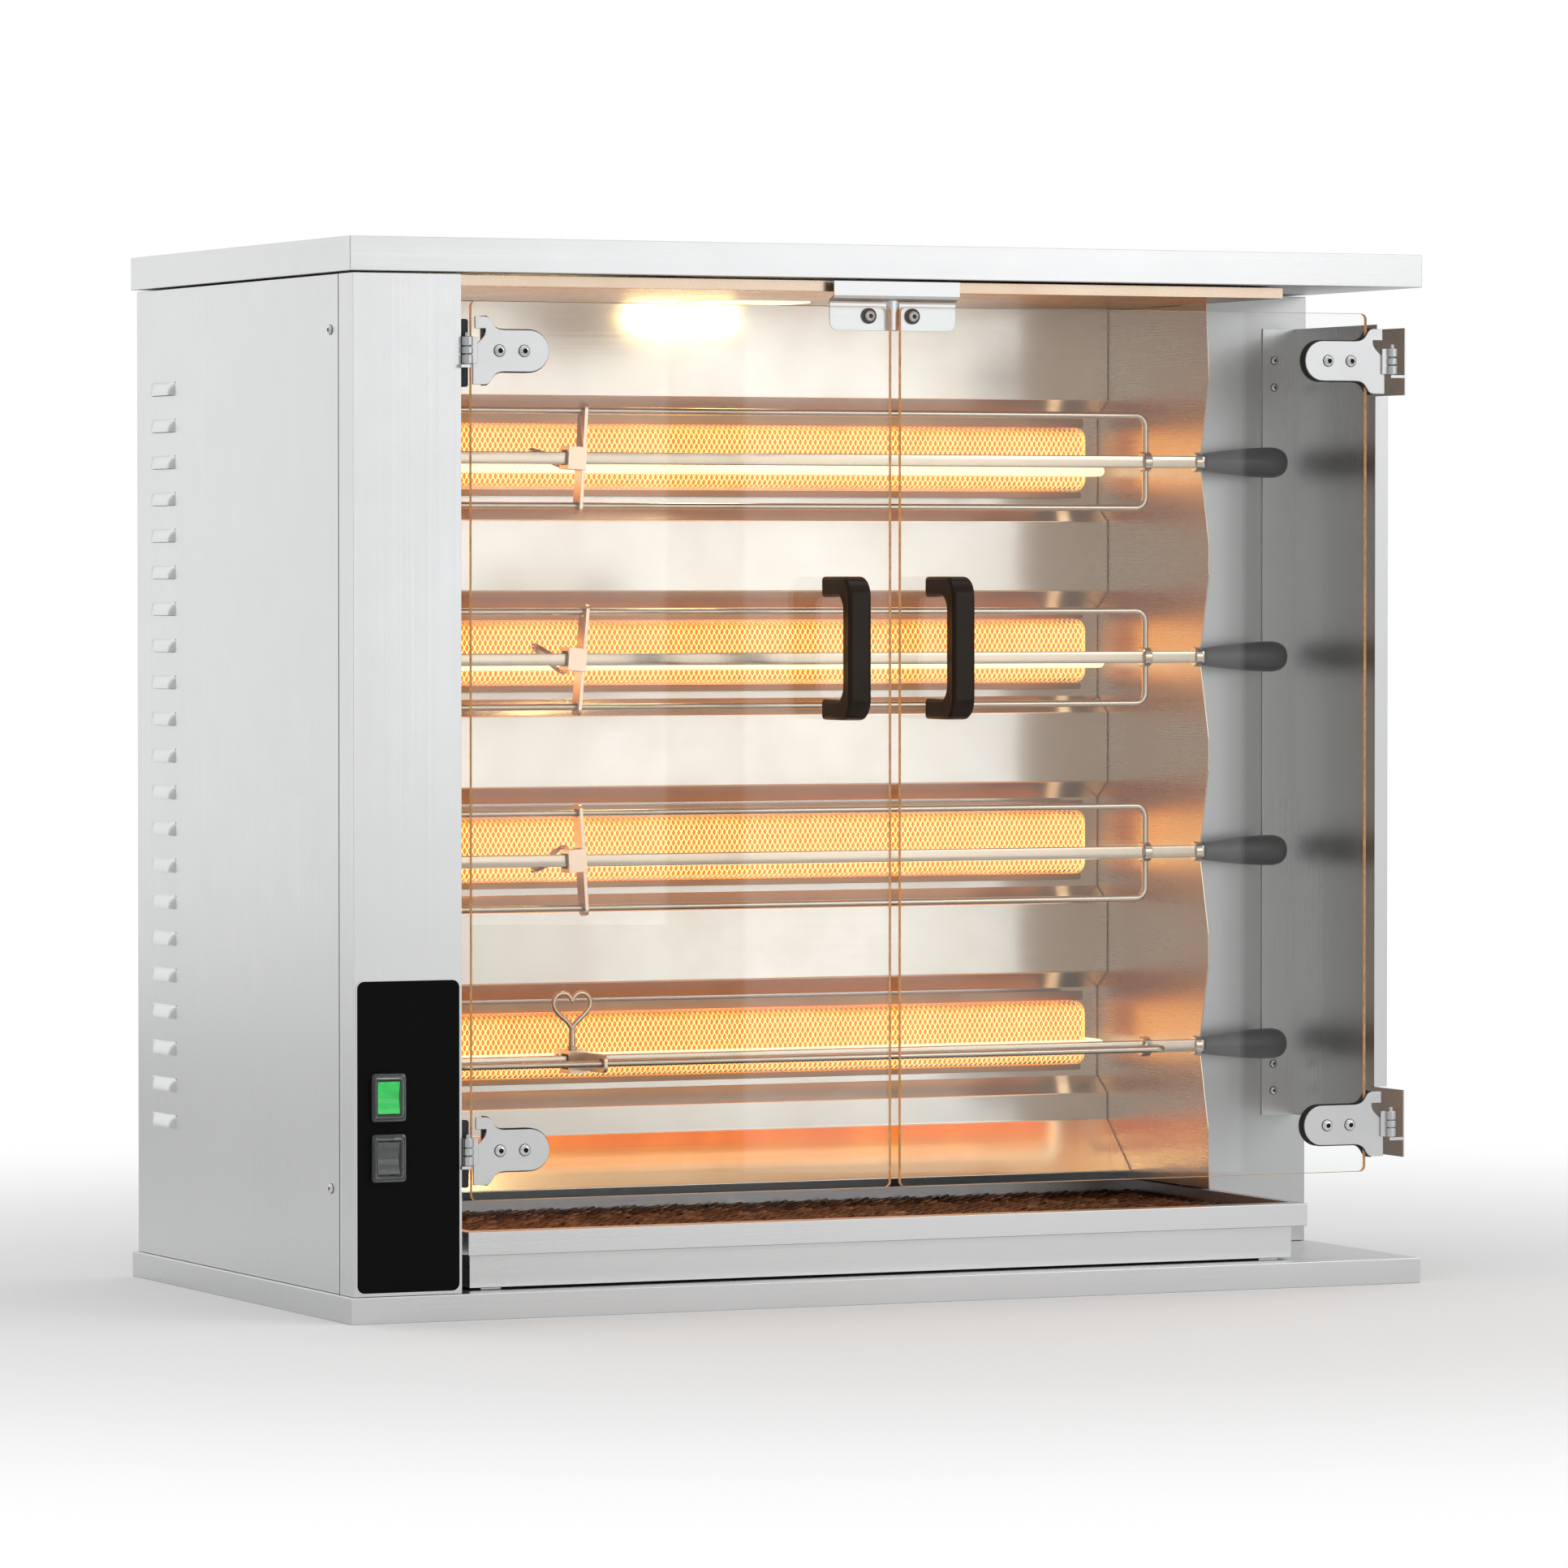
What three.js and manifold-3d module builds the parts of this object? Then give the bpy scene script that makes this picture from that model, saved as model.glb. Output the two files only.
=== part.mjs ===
// Countertop rotisserie oven with four driven spits, infrared heaters and two glass doors.
// Millimetres. +X right, +Y to the back, +Z up. The origin is the bottom centre of the whole box.
import * as THREE from 'three';
import { mergeVertices } from 'three/addons/utils/BufferGeometryUtils.js';
import Module from 'manifold-3d';

const wasm = await Module();
wasm.setup();

// ---------------------------------------------------------------- driving dimensions
const WIDTH = 960;              // roof and base, left to right
const DEPTH = 508;              // roof and base, front to back
const HEIGHT = 860;             // table to roof
const SHEET = 1.2;              // casing and chamber steel
const FIT = 0.3;                // gap between faces that rest on each other
const RUN = 0.5;                // radial gap of what turns or slides in a hole

const ROOF_FOLD = 27.3;         // height of the roof's folded edge
const BASE_FOLD = 21.2;         // height of the base's folded edge
const EDGE_RETURN = 20;         // width of the lip folded under roof and base
const SHADOW_GAP = 1.5;         // roof lip to casing
const CASING_INSET = 4;         // casing behind the roof's edge

const COLUMN_WIDTH = 92;        // control column, seen from the front
const COLUMN_RETURN = 31;       // its folds towards the back
const BAY_WIDTH = 121;          // open bay that holds the spit handles
const BAY_DEPTH = 200;          // bay's front panel behind the roof's edge

const LOUVRES = 21;
const LOUVRE_LENGTH = 58;
const LOUVRE_RISE = 4;          // hood standing out of the side
const LOUVRE_HOOD = 11;         // hood height
const LOUVRE_FROM_BACK = 36;    // hood's rear end to the rear edge
const LOUVRE_TOP = 83;          // first hood below the casing's top
const LOUVRE_BOTTOM = 115;      // last hood above the base

const REFLECTOR_DEPTH = 336;    // back reflector behind the roof's front edge
const TROUGH_DEPTH = 20;
const TROUGH_FLAT = 60;         // flat between two troughs
const TROUGH_SLOPE = 14;
const APRON_TOP = 100;          // apron fold above the base
const APRON_FOOT = 58;
const APRON_REACH = 46;         // apron's slope towards the front
const CEILING_DROP = 9;         // ceiling below the casing's top

const SPITS = 4;
const SPIT_DEPTH = 170;         // spit axis behind the roof's front edge
const LOWEST_SPIT = 172.3;      // above the base
const TOP_SPIT_DROP = 142.7;    // below the casing's top
const BAR = 10;                 // square spit bar
const WIRE = 5.6;               // round wire of the spit's frame
const FRAME_RISE = 39;          // wire centre to bar centre
const FRAME_BEND = 9;
const FRAME_RIGHT_GAP = 48;     // frame end to the chamber's right wall
const FRAME_LEFT_GAP = 46;
const JOURNAL_COVER = 0.53;     // journal's radius over the bar's corners
const JOURNAL_LENGTH = 6;
const HANDLE_GAP = 5;           // handle to the chamber's right wall
const COLLAR_LENGTH = 8;
const COLLAR_COVER = 1.43;      // collar's radius over the bar's corners
const WAVE = 19;                // how far the wall's edge dips at each spit
const WALL_SETBACK = 144;       // wall's foremost edge behind the roof's front edge
const HANDLE_LENGTH = 78;
const HANDLE_TIP_RADIUS = 13;
const HANDLE_NECK_RADIUS = 8;
const TANG_RADIUS = 3;
const TANG_LENGTH = 34;

const CLAMP_THICK = 3;
const CLAMP_DEEP = 15;
const CLAMP_MARGIN = 7;         // plate beyond the wires' centres
const CLAMP_SLEEVE = 16;        // sleeve length along the bar
const CLAMP_WALL = 3.2;
const CLAMP_SLACK = 1.2;        // play round the bar and the wires, which lets a clamp lean
const CLAMP_FROM_LEFT = 166;    // clamp behind the chamber's left wall
const CLAMP_LEANS = [3.5, 5, -3.7, 4];          // degrees, top to bottom
const SCREW_TWISTS = [20, 35, -30, 0];          // degrees about each screw
const SPIT_TURNS = [0, 0, 0, 90];               // degrees about each spit
const SCREW_RADIUS = 3;
const SHANK = 17;               // screw shank outside the sleeve
const HEART_WIDTH = 38;
const HEART_HEIGHT = 32;
const HEART_WIRE = 4.2;

const HEATER_HIGH = 56;
const HEATER_DEEP = 34;
const HEATER_FRONT = 22;        // basket's face in front of the reflector
const HEATER_RAISE = 4;         // basket centre above the spit
const HEATER_SKIN = 1.6;
const HEATER_END_GAP = 28;      // basket end to the chamber's right wall
const ROD_RADIUS = 4.5;
const ROD_DROP = 10;            // rod below the basket's centre
const ROD_STANDOFF = 8;         // rod axis in front of the basket
const ROD_BEND = 9;

const SPROCKET_TEETH = 14;
const SPROCKET_RADIUS = 27;
const SPROCKET_THICK = 4;
const SPROCKET_STANDOFF = 14;   // sprocket behind the chamber's left wall
const SHAFT_RADIUS = 6;
const SOCKET_RADIUS = 12;
const SOCKET_LENGTH = 20;
const SOCKET_GRIP = 15;         // bar's length inside the socket
const CHAIN_THICK = 6;
const GEARBOX = [26, 84, 80];   // width, depth and height
const MOTOR_RADIUS = 24;
const MOTOR_OFFSET = 8;         // motor behind the spits' axis
const YOKE_REACH = 50;          // motor bracket's arms each side of the shaft
const YOKE_THICK = 8;

const GLASS = 5;
const DOOR_DEPTH = 6;           // glass face behind the roof's front edge
const DOOR_LEFT_GAP = 9.5;      // left glass to the column
const DOOR_RIGHT_GAP = 45;      // right glass to the right casing
const DOOR_FOOT = 73.3;         // glass above the base
const DOOR_HEAD = 20.7;         // glass below the casing's top
const SEAM_X = -2.2;            // middle of the gap between the doors
const SEAM = 8.5;
const GLASS_CORNER = 5;
const HINGE_AXIS_DEPTH = 1;     // hinge pin behind the roof's front edge
const LEFT_PIN_GAP = 4.2;       // left pin to the column
const RIGHT_PIN_GAP = 24;       // right pin to the right casing
const PIN_RADIUS = 2;
const EYE_RADIUS = 4.6;
const EYE_HEIGHT = 22;
const HINGE_PLATE = 2.2;
const HINGE_ROOT = 54;          // plate height at the pin
const HINGE_LOBE = 33;          // plate height at its round end
const HINGE_REACH = 71;         // pin to the round end, left door
const HINGE_REACH_RIGHT = 80;
const HINGE_FROM_EDGE = 39.7;   // plate centre to the glass's top or bottom edge
const LUG_THICK = 2.5;

const GRIP_WIDTH = 20;
const GRIP_HEIGHT = 116;
const GRIP_REACH = 56;          // handle's front face to the glass
const GRIP_THICK = 14;
const GRIP_FOOT = 20;
const GRIP_Z = 512.3;           // handle centre above the base
const LEFT_GRIP_FROM_SEAM = 57.5;
const RIGHT_GRIP_FROM_SEAM = 35;

const STOP_WIDTH = 113;
const STOP_DROP = 40;
const STOP_JOGGLE = 15;
const STOP_CLEAR = 4;           // stop's lower face behind the glass

const POST_FLANGE = 30;
const POST_INSET = 12;          // post's web to the right casing
const POST_SETBACK = 50;        // outer flange behind the roof's front edge
const POST_LIP = 11;
const POST_TOP_DROP = 28;
const POST_FOOT = 109;
const EAR_HIGH = 56;

const LABEL_WIDTH = 87;
const LABEL_HEIGHT = 247;
const LABEL_CORNER = 6;
const LABEL_THICK = 0.8;
const LABEL_FOOT = 3;
const STUCK = 0.1;              // adhesive under the label and the switch rims
const SWITCH_WIDTH = 29;
const SWITCH_HEIGHT = 38;
const SWITCH_RIM = 3.2;
const SWITCH_PROUD = 5;
const SWITCH_BODY = 24;
const SWITCH_LOW = 109.8;       // lower switch centre above the base
const SWITCH_PITCH = 48;
const SWITCH_LEFT = 28.6;       // switch centre from the casing's left face
const SWITCH_WALL = 1.5;        // rim's wall inside the panel opening
const ROCKER_SINK = 3;          // rocker pivot behind the rim's back

const TRAY_FRONT = 30;          // tray's front wall behind the roof's front edge
const TRAY_LIP = 15;            // rim folded towards the front
const TRAY_LIP_DROP = 19;
const TRAY_HEIGHT = 46;
const TRAY_RIM = 7;
const TRAY_GAP = 10;            // tray to the column
const TRAY_RIGHT_GAP = 95;      // tray to the right casing
const TRAY_BACK = 336;
const TRAY_REST = 1.8;          // tray above the base, on two runners
const RUNNER_INSET = 18;
const GRID_THICK = 4;
const GRID_DROP = 8;            // grid's top below the tray's rim
const GRID_SLOTS = 5;
const GRID_BAR = 8;             // steel left between two slots
const GRID_BORDER = 27;         // steel left at a grid's front and rear edges
const GRID_FEET_INSET = 12;
const GRID_FOOT = 3;

const LAMP_WIDTH = 96;
const LAMP_DEPTH = 62;
const LAMP_X = -20;
const LAMP_FROM_BACK = 66;
const GLAND_RADIUS = 11;
const GLAND_LENGTH = 13;
const GLAND_NECK = 8;           // radius through the rear panel
const GLAND_BORE = 4;
const GLAND_INSET = 60;         // gland from the casing's left face, and above the base

// ---------------------------------------------------------------- places worked out from them
const depth = (behind) => behind - DEPTH / 2;      // y of a distance behind the roof's front edge
const left = -WIDTH / 2 + CASING_INSET;
const right = WIDTH / 2 - CASING_INSET;
const rear = depth(DEPTH - CASING_INSET);
const baseTop = BASE_FOLD;
const casingTop = HEIGHT - ROOF_FOLD - SHADOW_GAP;
const columnRight = left + COLUMN_WIDTH;
const columnFront = depth(CASING_INSET);
const chamberLeft = columnRight + FIT;
const chamberRight = right - BAY_WIDTH;
const ceiling = casingTop - CEILING_DROP;
const reflector = depth(REFLECTOR_DEPTH);
const spitY = depth(SPIT_DEPTH);
const bayFront = depth(BAY_DEPTH);
const lowestSpit = baseTop + LOWEST_SPIT;
const spitPitch = (casingTop - TOP_SPIT_DROP - lowestSpit) / (SPITS - 1);
const spitZ = (k) => lowestSpit + (SPITS - 1 - k) * spitPitch;       // k counts from the top
const glassFront = depth(DOOR_DEPTH);
const doorLow = baseTop + DOOR_FOOT;
const doorHigh = casingTop - DOOR_HEAD;
const hingeZ = [doorHigh - HINGE_FROM_EDGE, doorLow + HINGE_FROM_EDGE];
const pinY = depth(HINGE_AXIS_DEPTH);
const leftPin = columnRight + LEFT_PIN_GAP;
const rightPin = right - RIGHT_PIN_GAP;
const trayX = [columnRight + TRAY_GAP, right - TRAY_RIGHT_GAP];
const trayY = [depth(TRAY_FRONT), depth(TRAY_BACK)];
const barCorner = BAR * Math.SQRT1_2;
const journal = barCorner + JOURNAL_COVER;
const handleStart = chamberRight + SHEET + HANDLE_GAP;
const barLeft = chamberLeft + SOCKET_LENGTH + FIT - SOCKET_GRIP;
const clampX = chamberLeft + CLAMP_FROM_LEFT;
const clampHigh = 2 * (FRAME_RISE + CLAMP_MARGIN);
const sprocketX = chamberLeft - SHEET - SPROCKET_STANDOFF;
const heaterFace = reflector - HEATER_FRONT;
const heaterZ = (k) => spitZ(k) + HEATER_RAISE;
const rodAxis = heaterFace - ROD_STANDOFF;
const rodHeight = (k) => heaterZ(k) - ROD_DROP;
const glandX = left + GLAND_INSET;
const glandZ = baseTop + GLAND_INSET;
const switchX = left + SWITCH_LEFT;
const switchZ = [1, 0].map((row) => baseTop + SWITCH_LOW + row * SWITCH_PITCH);   // upper, lower
const switchHole = [SWITCH_WIDTH, SWITCH_HEIGHT].map((size) => size / 2 - SWITCH_RIM + FIT);

// ---------------------------------------------------------------- finishes
const finish = (color, roughness, metalness) => ({ color, roughness, metalness });
const BRUSHED = finish(0xc9cbcd, 0.34, 1);
const POLISHED = finish(0xc4bcb2, 0.22, 1);
const WIRE_STEEL = finish(0xb8a28a, 0.3, 1);
const GLOWING = finish(0xffb347, 0.6, 0.2);
const BLACK_PLASTIC = finish(0x2b2b2d, 0.5, 0);
const GLASS_FINISH = finish(0xdfe8e6, 0.05, 0);
const DARK_STEEL = finish(0x4a3324, 0.45, 0.8);
const HINGE_STEEL = finish(0xb5b7b9, 0.4, 1);

// ---------------------------------------------------------------- making solids
const block = ([x0, x1], [y0, y1], [z0, z1]) =>
  new THREE.BoxGeometry(x1 - x0, y1 - y0, z1 - z0)
    .translate((x0 + x1) / 2, (y0 + y1) / 2, (z0 + z1) / 2);

function toSolid(geometry) {
  const bare = geometry.clone();
  bare.deleteAttribute('normal');
  bare.deleteAttribute('uv');
  const merged = mergeVertices(bare, 1e-4);
  return new wasm.Manifold(new wasm.Mesh({
    numProp: 3,
    vertProperties: new Float32Array(merged.attributes.position.array),
    triVerts: new Uint32Array(merged.index.array),
  }));
}

function toGeometry(solid) {
  const mesh = solid.getMesh();
  const geometry = new THREE.BufferGeometry();
  geometry.setAttribute('position', new THREE.BufferAttribute(mesh.vertProperties, 3));
  geometry.setIndex(new THREE.BufferAttribute(mesh.triVerts, 1));
  return geometry;
}

const join = (...pieces) =>
  toGeometry(pieces.map(toSolid).reduce((whole, piece) => whole.add(piece)));
const cut = (body, ...tools) =>
  toGeometry(tools.map(toSolid).reduce((rest, tool) => rest.subtract(tool), toSolid(body)));

const extrude = (shape, length, curveSegments = 6) =>
  new THREE.ExtrudeGeometry(shape, { depth: length, bevelEnabled: false, curveSegments });

// An outline in x and y, drawn up from z0 to z1.
const upright = (shape, z0, z1) => extrude(shape, z1 - z0).translate(0, 0, z0);

// An outline in x and z, drawn back from y0 to y1.
const facing = (shape, y0, y1, curveSegments) =>
  extrude(shape, y1 - y0, curveSegments).rotateX(Math.PI / 2).translate(0, y1, 0);

// An outline in y and z, drawn right from x0 to x1.
const sideways = (shape, x0, x1, curveSegments) =>
  extrude(shape, x1 - x0, curveSegments)
    .applyMatrix4(new THREE.Matrix4().set(0, 0, 1, 0, 1, 0, 0, 0, 0, 1, 0, 0, 0, 0, 0, 1))
    .translate(x0, 0, 0);

const outline = (points) => new THREE.Shape(points.map(([u, v]) => new THREE.Vector2(u, v)));

// The section of a sheet bent along a chain of points, its thickness to the left of the way along.
function folded(points, thickness = SHEET) {
  const path = points.map(([u, v]) => new THREE.Vector2(u, v));
  const normals = path.slice(1).map((point, i) => {
    const way = point.clone().sub(path[i]).normalize();
    return new THREE.Vector2(-way.y, way.x);
  });
  const inner = path.map((point, i) => {
    const before = normals[Math.max(i - 1, 0)];
    const after = normals[Math.min(i, normals.length - 1)];
    const mitre = before.clone().add(after).normalize();
    return point.clone().addScaledVector(mitre, thickness / mitre.dot(after));
  });
  return new THREE.Shape([...path, ...inner.reverse()]);
}

function roundedRectangle([u0, u1], [v0, v1], radius) {
  const shape = new THREE.Shape();
  shape.absarc(u1 - radius, v1 - radius, radius, 0, Math.PI / 2);
  shape.absarc(u0 + radius, v1 - radius, radius, Math.PI / 2, Math.PI);
  shape.absarc(u0 + radius, v0 + radius, radius, Math.PI, Math.PI * 1.5);
  shape.absarc(u1 - radius, v0 + radius, radius, Math.PI * 1.5, Math.PI * 2);
  return shape;
}

// A body turned about the x axis from pairs of distance along it and radius.
const turned = (profile, sides = 20) =>
  new THREE.LatheGeometry(profile.map(([x, r]) => new THREE.Vector2(r, x)), sides)
    .rotateZ(-Math.PI / 2);

const rodX = (radius, [x0, x1], y, z, sides = 16) =>
  new THREE.CylinderGeometry(radius, radius, x1 - x0, sides)
    .rotateZ(Math.PI / 2).translate((x0 + x1) / 2, y, z);
const rodY = (radius, [y0, y1], x, z, sides = 16) =>
  new THREE.CylinderGeometry(radius, radius, y1 - y0, sides).translate(x, (y0 + y1) / 2, z);
const rodZ = (radius, [z0, z1], x, y, sides = 16) =>
  new THREE.CylinderGeometry(radius, radius, z1 - z0, sides)
    .rotateX(Math.PI / 2).translate(x, y, (z0 + z1) / 2);

// A path through corner points with round bends, stepping from point to point as listed.
class BentPath extends THREE.Curve {
  constructor(corners, bend, steps = 4) {
    super();
    this.points = [corners[0]];
    for (let i = 1; i < corners.length - 1; i += 1) {
      const from = corners[i - 1].clone().sub(corners[i]).normalize();
      const to = corners[i + 1].clone().sub(corners[i]).normalize();
      const half = from.angleTo(to) / 2;
      const middle = from.clone().add(to).normalize();
      const centre = corners[i].clone().addScaledVector(middle, bend / Math.sin(half));
      const start = corners[i].clone().addScaledVector(from, bend / Math.tan(half)).sub(centre);
      const axis = to.clone().cross(from).normalize();
      for (let s = 0; s <= steps; s += 1) {
        const angle = (Math.PI - 2 * half) * (s / steps);
        this.points.push(start.clone().applyAxisAngle(axis, angle).add(centre));
      }
    }
    this.points.push(corners.at(-1));
  }

  getPoint(t) {
    return this.points[Math.round(t * (this.points.length - 1))].clone();
  }

  getPointAt(u) {
    return this.getPoint(u);
  }

  getTangentAt(u) {
    const i = Math.round(u * (this.points.length - 1));
    const before = this.points[Math.max(i - 1, 0)];
    const after = this.points[Math.min(i + 1, this.points.length - 1)];
    return after.clone().sub(before).normalize();
  }
}

function bentWire(corners, radius, bend, sides = 8) {
  const path = new BentPath(corners.map((corner) => new THREE.Vector3(...corner)), bend);
  const ring = Array.from({ length: sides }, (_, i) => {
    const angle = (i / sides) * 2 * Math.PI;
    return [radius * Math.cos(angle), radius * Math.sin(angle)];
  });
  return new THREE.ExtrudeGeometry(outline(ring), {
    steps: path.points.length - 1,
    extrudePath: path,
    bevelEnabled: false,
  });
}

// ---------------------------------------------------------------- the assembly
const oven = new THREE.Group();
const frontReach = GRIP_REACH - DOOR_DEPTH;
const rearReach = GLAND_LENGTH - CASING_INSET;
oven.position.y = (frontReach - rearReach) / 2;

function add(name, geometry, look, home = oven) {
  const piece = new THREE.Mesh(geometry, new THREE.MeshStandardMaterial(look));
  piece.name = name;
  home.add(piece);
  return piece;
}

// Base and roof: shallow folded trays with a lip turned in all round.
function addTrays() {
  const footprint = [[-WIDTH / 2, WIDTH / 2], [-DEPTH / 2, DEPTH / 2]];
  const shrunk = (by) => footprint.map(([a, b]) => [a + by, b - by]);
  const runners = trayX.map((x, i) => block(
    i === 0 ? [x + RUNNER_INSET, x + 2 * RUNNER_INSET] : [x - 2 * RUNNER_INSET, x - RUNNER_INSET],
    [trayY[0] + 4, trayY[1]],
    [BASE_FOLD - SHEET, BASE_FOLD + TRAY_REST - FIT],
  ));
  add('base_plate', cut(
    join(block(...footprint, [0, BASE_FOLD]), ...runners),
    block(...shrunk(SHEET), [SHEET, BASE_FOLD - SHEET]),
    block(...shrunk(EDGE_RETURN), [-1, BASE_FOLD / 2]),
  ), BRUSHED);
  const underside = HEIGHT - ROOF_FOLD;
  add('roof_panel', cut(
    block(...footprint, [underside, HEIGHT]),
    block(...shrunk(SHEET), [underside + SHEET, HEIGHT - SHEET]),
    block(
      [-WIDTH / 2 + EDGE_RETURN, chamberRight],
      [-DEPTH / 2 + EDGE_RETURN, DEPTH / 2 - EDGE_RETURN],
      [underside - 1, underside + ROOF_FOLD / 2],
    ),
  ), BRUSHED);
}

// Left side: one sheet with a row of punched hoods that open downwards.
function addLeftSide() {
  const front = depth(CASING_INSET + COLUMN_RETURN) + FIT;
  const hoodBack = rear - LOUVRE_FROM_BACK;
  const hoodFront = hoodBack - LOUVRE_LENGTH;
  const top = casingTop - LOUVRE_TOP;
  const bottom = baseTop + LOUVRE_BOTTOM;
  const section = (z, skin) => outline([
    [left + SHEET / 2 + skin, z + LOUVRE_HOOD - 2 * skin],
    [left - 0.8 * LOUVRE_RISE + skin, z + 0.6 * LOUVRE_HOOD - skin],
    [left - LOUVRE_RISE + skin, z - skin],
    [left + SHEET / 2 + skin, z - skin],
  ]);
  const feet = Array.from({ length: LOUVRES },
    (_, i) => top + (bottom - top) * (i / (LOUVRES - 1)) - LOUVRE_HOOD / 2);
  const sheet = block([left, left + SHEET], [front, rear], [baseTop + FIT, casingTop]);
  const hoods = feet.map((z) => facing(section(z, 0), hoodFront, hoodBack));
  const slots = feet.map((z) => facing(section(z, SHEET), hoodFront + SHEET, hoodBack - SHEET));
  add('left_side_panel', cut(join(sheet, ...hoods), ...slots), BRUSHED);
}

// Control column: a channel open to the back, with two lugs that carry the left door's pins.
function addColumn() {
  const back = columnFront + COLUMN_RETURN;
  const height = [baseTop + FIT, casingTop];
  const channel = upright(folded([
    [left, back], [left, columnFront], [columnRight, columnFront], [columnRight, back],
  ]), ...height);
  const windows = switchZ.map((z) => block(
    [switchX - switchHole[0], switchX + switchHole[0]],
    [columnFront - 1, columnFront + SHEET + 1],
    [z - switchHole[1], z + switchHole[1]],
  ));
  const lugs = hingeZ.flatMap((z) => pinLug(columnRight - 2, leftPin, columnFront + 2.5, z));
  add('front_column', cut(join(channel, ...lugs), ...windows), BRUSHED);
}

// A lug under the hinge eye with its upright pin, reaching from a fixed wall to the pin.
function pinLug(wall, pin, wallY, z) {
  const foot = z - EYE_HEIGHT / 2 - FIT - LUG_THICK;
  const reach = pin + Math.sign(pin - wall) * PIN_RADIUS;
  return [
    block([Math.min(wall, reach), Math.max(wall, reach)], [pinY - PIN_RADIUS, wallY],
      [foot, foot + LUG_THICK]),
    rodZ(PIN_RADIUS, [foot + 0.5, z + EYE_HEIGHT / 2 + 3], pin, pinY, 12),
  ];
}

// Rear, right side and bay front: the casing's other sheets.
function addCasing() {
  const height = [baseTop + FIT, casingTop];
  add('rear_panel', cut(
    block([left + SHEET + FIT, right - SHEET - FIT], [rear - SHEET, rear], height),
    rodY(GLAND_NECK + FIT, [rear - 3, rear + 3], glandX, glandZ),
  ), BRUSHED);
  add('right_casing', cut(
    upright(folded([
      [chamberRight + SHEET + FIT, bayFront], [right, bayFront], [right, rear],
    ]), ...height),
    block([chamberRight, right - TRAY_RIGHT_GAP + 3], [bayFront - 1, bayFront + SHEET + 1],
      [baseTop - 1, baseTop + TRAY_REST + TRAY_HEIGHT + 3]),
  ), BRUSHED);
}

// Supply gland: a flanged bush with a cord hole, held in the rear panel.
function addGland() {
  const inside = rear - SHEET - 8;
  const outside = rear + GLAND_LENGTH;
  add('cable_gland', cut(
    join(
      rodY(GLAND_NECK, [inside, rear + 1], glandX, glandZ),
      rodY(GLAND_RADIUS, [rear + FIT, outside], glandX, glandZ),
    ),
    rodY(GLAND_BORE, [inside - 1, outside + 1], glandX, glandZ),
  ), BLACK_PLASTIC);
}

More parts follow.
